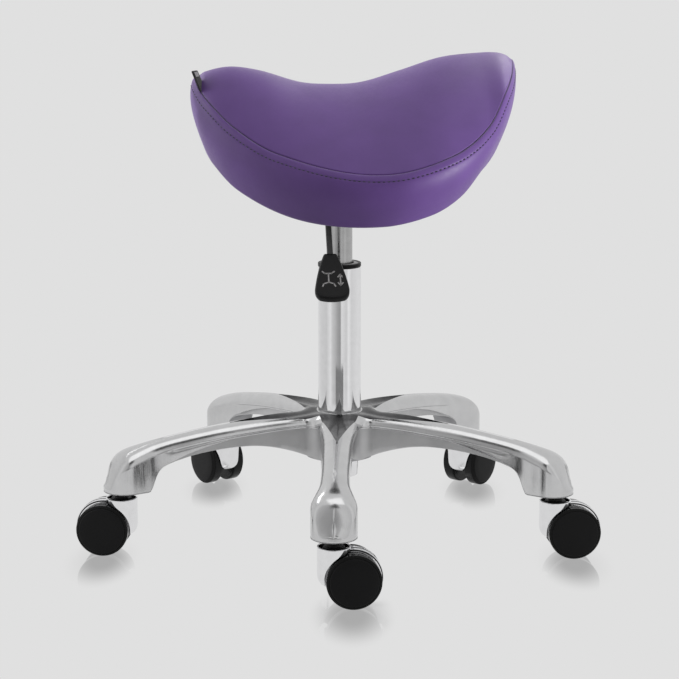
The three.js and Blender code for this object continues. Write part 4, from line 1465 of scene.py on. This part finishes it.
REFLECTION_HALF = 0.048  # half width of the oval on the floor that mirrors a caster
REFLECTION_LONG = 0.105  # half its depth
REFLECTION_AHEAD = 0.035  # its middle is this far in front of the axle
REFLECTION_FADE = (0.2, 1.0, 0.46, 0.0)  # from 0.46 of a mirror at 0.2 of the oval to none at its edge


def nearest_caster(nodes):
    """How far a floor point is from the nearest caster, 1 being the edge of the oval round it."""
    geometry = nodes.node("ShaderNodeNewGeometry")
    nearest = None
    for name in CASTERS:
        centre = centre_of(f"caster_axle_{name}")
        scaled = nodes.node("ShaderNodeVectorMath", operation="MULTIPLY")
        scaled.inputs[1].default_value = (1 / REFLECTION_HALF, 1 / REFLECTION_LONG, 0)
        nodes.link(geometry.outputs["Position"], scaled.inputs[0])
        away = nodes.node("ShaderNodeVectorMath", operation="DISTANCE")
        middle = (centre.x / REFLECTION_HALF, (centre.y - REFLECTION_AHEAD) / REFLECTION_LONG, 0)
        away.inputs[1].default_value = middle
        nodes.link(scaled.outputs["Vector"], away.inputs[0])
        if nearest is None:
            nearest = away.outputs["Value"]
            continue
        least = nodes.node("ShaderNodeMath", operation="MINIMUM")
        nodes.link(nearest, least.inputs[0])
        nodes.link(away.outputs["Value"], least.inputs[1])
        nearest = least.outputs["Value"]
    return nearest


def floor_material():
    """Pale paper that glows evenly, with a mirror image that fades away from each caster."""
    material, nodes, glow, output = emitting("pale_floor", PAPER, FLOOR_DIFFUSE)
    gloss = nodes.node("ShaderNodeBsdfGlossy", Roughness=0.05)
    fade = nodes.ranged(nearest_caster(nodes), *REFLECTION_FADE, interpolation_type="SMOOTHSTEP")
    paper = nodes.mixed(fade, glow.outputs["Emission"], gloss.outputs["BSDF"])
    clear_behind(nodes, paper, output)
    return material


FLOOR_HALF = 40.0
FLOOR_DROP = 0.0002  # how far the floor lies under the wheels


def flat_mesh(name, corners):
    """A mesh of one face. Its front is the side from which the corners run anticlockwise."""
    mesh = bpy.data.meshes.new(name)
    mesh.from_pydata(corners, [], [tuple(range(len(corners)))])
    return mesh


def build_floor():
    signs = ((-1, -1), (1, -1), (1, 1), (-1, 1))
    corners = [(x * FLOOR_HALF, y * FLOOR_HALF, -FLOOR_DROP) for x, y in signs]
    loose("floor", flat_mesh("floor", corners), floor_material())


TENT_RADIUS = 0.62
TENT_HEIGHT = 0.75
TENT_SEGMENTS = 128
# (share of the way round, brightness): 0 and 1 are behind the stool and 0.5 is towards the camera.
TENT_BANDS = ((0.0, 0.745), (0.1, 0.74), (0.2, 0.66), (0.3, 0.62), (0.365, 0.8), (0.4, 0.6), (0.44, 0.5),
              (0.47, 0.4), (0.5, 0.34), (0.515, 0.36), (0.527, 0.78), (0.56, 0.72), (0.6, 0.64),
              (0.635, 0.85), (0.68, 0.68), (0.8, 0.76), (0.9, 0.74), (1.0, 0.745))


def tent_material():
    """What the metal sees round it: pale walls with darker upright bands."""
    material, nodes, glow, output = emitting("tent", 1.0)
    ramp = nodes.node("ShaderNodeValToRGB")
    elements = ramp.color_ramp.elements
    for _ in range(len(TENT_BANDS) - 2):
        elements.new(0.5)
    for element, (position, value) in zip(elements, TENT_BANDS):
        element.position = position
        element.color = (value, value, value, 1)
    coordinates = nodes.node("ShaderNodeTexCoord")
    parts = nodes.node("ShaderNodeSeparateXYZ")
    nodes.link(coordinates.outputs["UV"], parts.inputs["Vector"])
    nodes.link(parts.outputs["X"], ramp.inputs["Fac"])
    nodes.link(ramp.outputs["Color"], glow.inputs["Color"])
    clear_behind(nodes, glow.outputs["Emission"], output)
    return material


def build_tent():
    """A round wall that only glossy rays see, with its bands upright."""
    points, faces, places = [], [], []
    for k in range(TENT_SEGMENTS + 1):
        a = math.pi / 2 - 2 * math.pi * k / TENT_SEGMENTS
        points += [(TENT_RADIUS * math.cos(a), TENT_RADIUS * math.sin(a), z) for z in (0.0, TENT_HEIGHT)]
    for k in range(TENT_SEGMENTS):
        faces.append((2 * k, 2 * k + 2, 2 * k + 3, 2 * k + 1))
        u0, u1 = 1 - k / TENT_SEGMENTS, 1 - (k + 1) / TENT_SEGMENTS
        places += [(u0, 0), (u1, 0), (u1, 1), (u0, 1)]
    mesh = bpy.data.meshes.new("reflection_tent")
    mesh.from_pydata(points, [], faces)
    layer = mesh.uv_layers.new(name="round")
    for loop, place in zip(layer.data, places):
        loop.uv = place
    hide_but_for_glossy(loose("reflection_tent", mesh, tent_material()))


SEAT_CARD = {"height": 0.425, "radius": 0.075, "grey": 0.08}
FRONT_CARD = {"half": 0.13, "low": 0.47, "high": 0.95, "away": 0.6, "grey": 0.08}
LOW_CARD = {"half": 0.2, "low": 0.0, "high": 0.1, "away": 0.55, "grey": 0.22}


def upright_corners(card):
    x, y = card["half"], -card["away"]
    return [(-x, y, card["low"]), (x, y, card["low"]), (x, y, card["high"]), (-x, y, card["high"])]


def level_corners(card):
    return [(card["radius"] * math.cos(a), card["radius"] * math.sin(a), card["height"])
            for a in ring_angles(64)]


def build_cards():
    """Grey cards that only glossy rays see: one in the seat's place, one high and one low in front."""
    for name, card, corners in (("seat_card", SEAT_CARD, level_corners(SEAT_CARD)),
                                ("front_card", FRONT_CARD, upright_corners(FRONT_CARD)),
                                ("low_card", LOW_CARD, upright_corners(LOW_CARD))):
        material = emitting(name, card["grey"])[0]
        hide_but_for_glossy(loose(name, flat_mesh(name, corners), material))


def hide_but_for_glossy(thing):
    thing.matrix_world = COLUMN
    thing.visible_camera = False
    thing.visible_diffuse = False
    thing.visible_shadow = False
    thing.visible_transmission = False


def softbox(name, place, target, size, watts, only=None):
    """A flat lamp that faces the target. It may light one list of pieces and leave the rest out."""
    light = bpy.data.lights.new(name, "AREA")
    light.shape = "RECTANGLE"
    light.size, light.size_y = size
    light.energy = watts
    made = bpy.data.objects.new(name, light)
    bpy.context.scene.collection.objects.link(made)
    direction = Vector(target) - Vector(place)
    made.location = AXIS + Vector(place)
    made.rotation_euler = direction.to_track_quat("-Z", "Y").to_euler()
    if only:
        lit = bpy.data.collections.new(name + "_lights")
        for thing in only:
            lit.objects.link(thing)
        made.light_linking.receiver_collection = lit


def build_world():
    """Even paper all round, which lights matt surfaces less than it is seen."""
    world = bpy.data.worlds.new("studio")
    bpy.context.scene.world = world
    world.use_nodes = True
    nodes = Nodes(world.node_tree)
    background = nodes.tree.nodes["Background"]
    background.inputs["Color"].default_value = (PAPER, PAPER, PAPER, 1)
    nodes.link(nodes.dimmed(1.0, WORLD_DIFFUSE), background.inputs["Strength"])


SEAT_MIDDLE = (0, 0, 0.48)
# (name, place from the column's foot, size, watts, whether it lights the seat's cover and nothing else)
LAMPS = (("above_seat", (0.75, 0.8, 1.5), (0.8, 0.5), 10, True),
         ("right_side", (1.5, -0.75, 0.28), (0.5, 0.8), 29, True),
         ("back_left", (-1.25, 0.75, 1.2), (1.4, 1.1), 12, False),
         ("left_side", (-1.6, 0.2, 0.7), (1.0, 1.1), 9, False),
         ("overhead", (0.1, -0.4, 2.0), (1.3, 1.3), 3, False))


def build_lights():
    """Soft lamps that face the seat."""
    covers = [thing for thing in bpy.data.objects if LEATHER.name in thing.material_slots]
    for name, place, size, watts, cover_only in LAMPS:
        softbox(name, place, SEAT_MIDDLE, size, watts, only=covers if cover_only else None)


CAMERA_BACK = 2.199
CAMERA_HEIGHT = 0.673
CAMERA_DOWN = math.radians(11.32)
LENS = 102.17


def build_camera():
    data = bpy.data.cameras.new("camera")
    data.lens = LENS
    data.sensor_width = 36
    camera = bpy.data.objects.new("camera", data)
    bpy.context.scene.collection.objects.link(camera)
    camera.location = AXIS + Vector((0, -CAMERA_BACK, CAMERA_HEIGHT))
    camera.rotation_euler = (math.pi / 2 - CAMERA_DOWN, 0, 0)
    bpy.context.scene.camera = camera
    bpy.context.scene.view_settings.view_transform = "Standard"


build_camera()
build_world()
build_floor()
build_tent()
build_cards()
build_star_base()
build_column()
build_seat()
build_tag()
build_lever_stem()
build_paddle()
build_casters()
finish_cad_nodes()
build_lights()
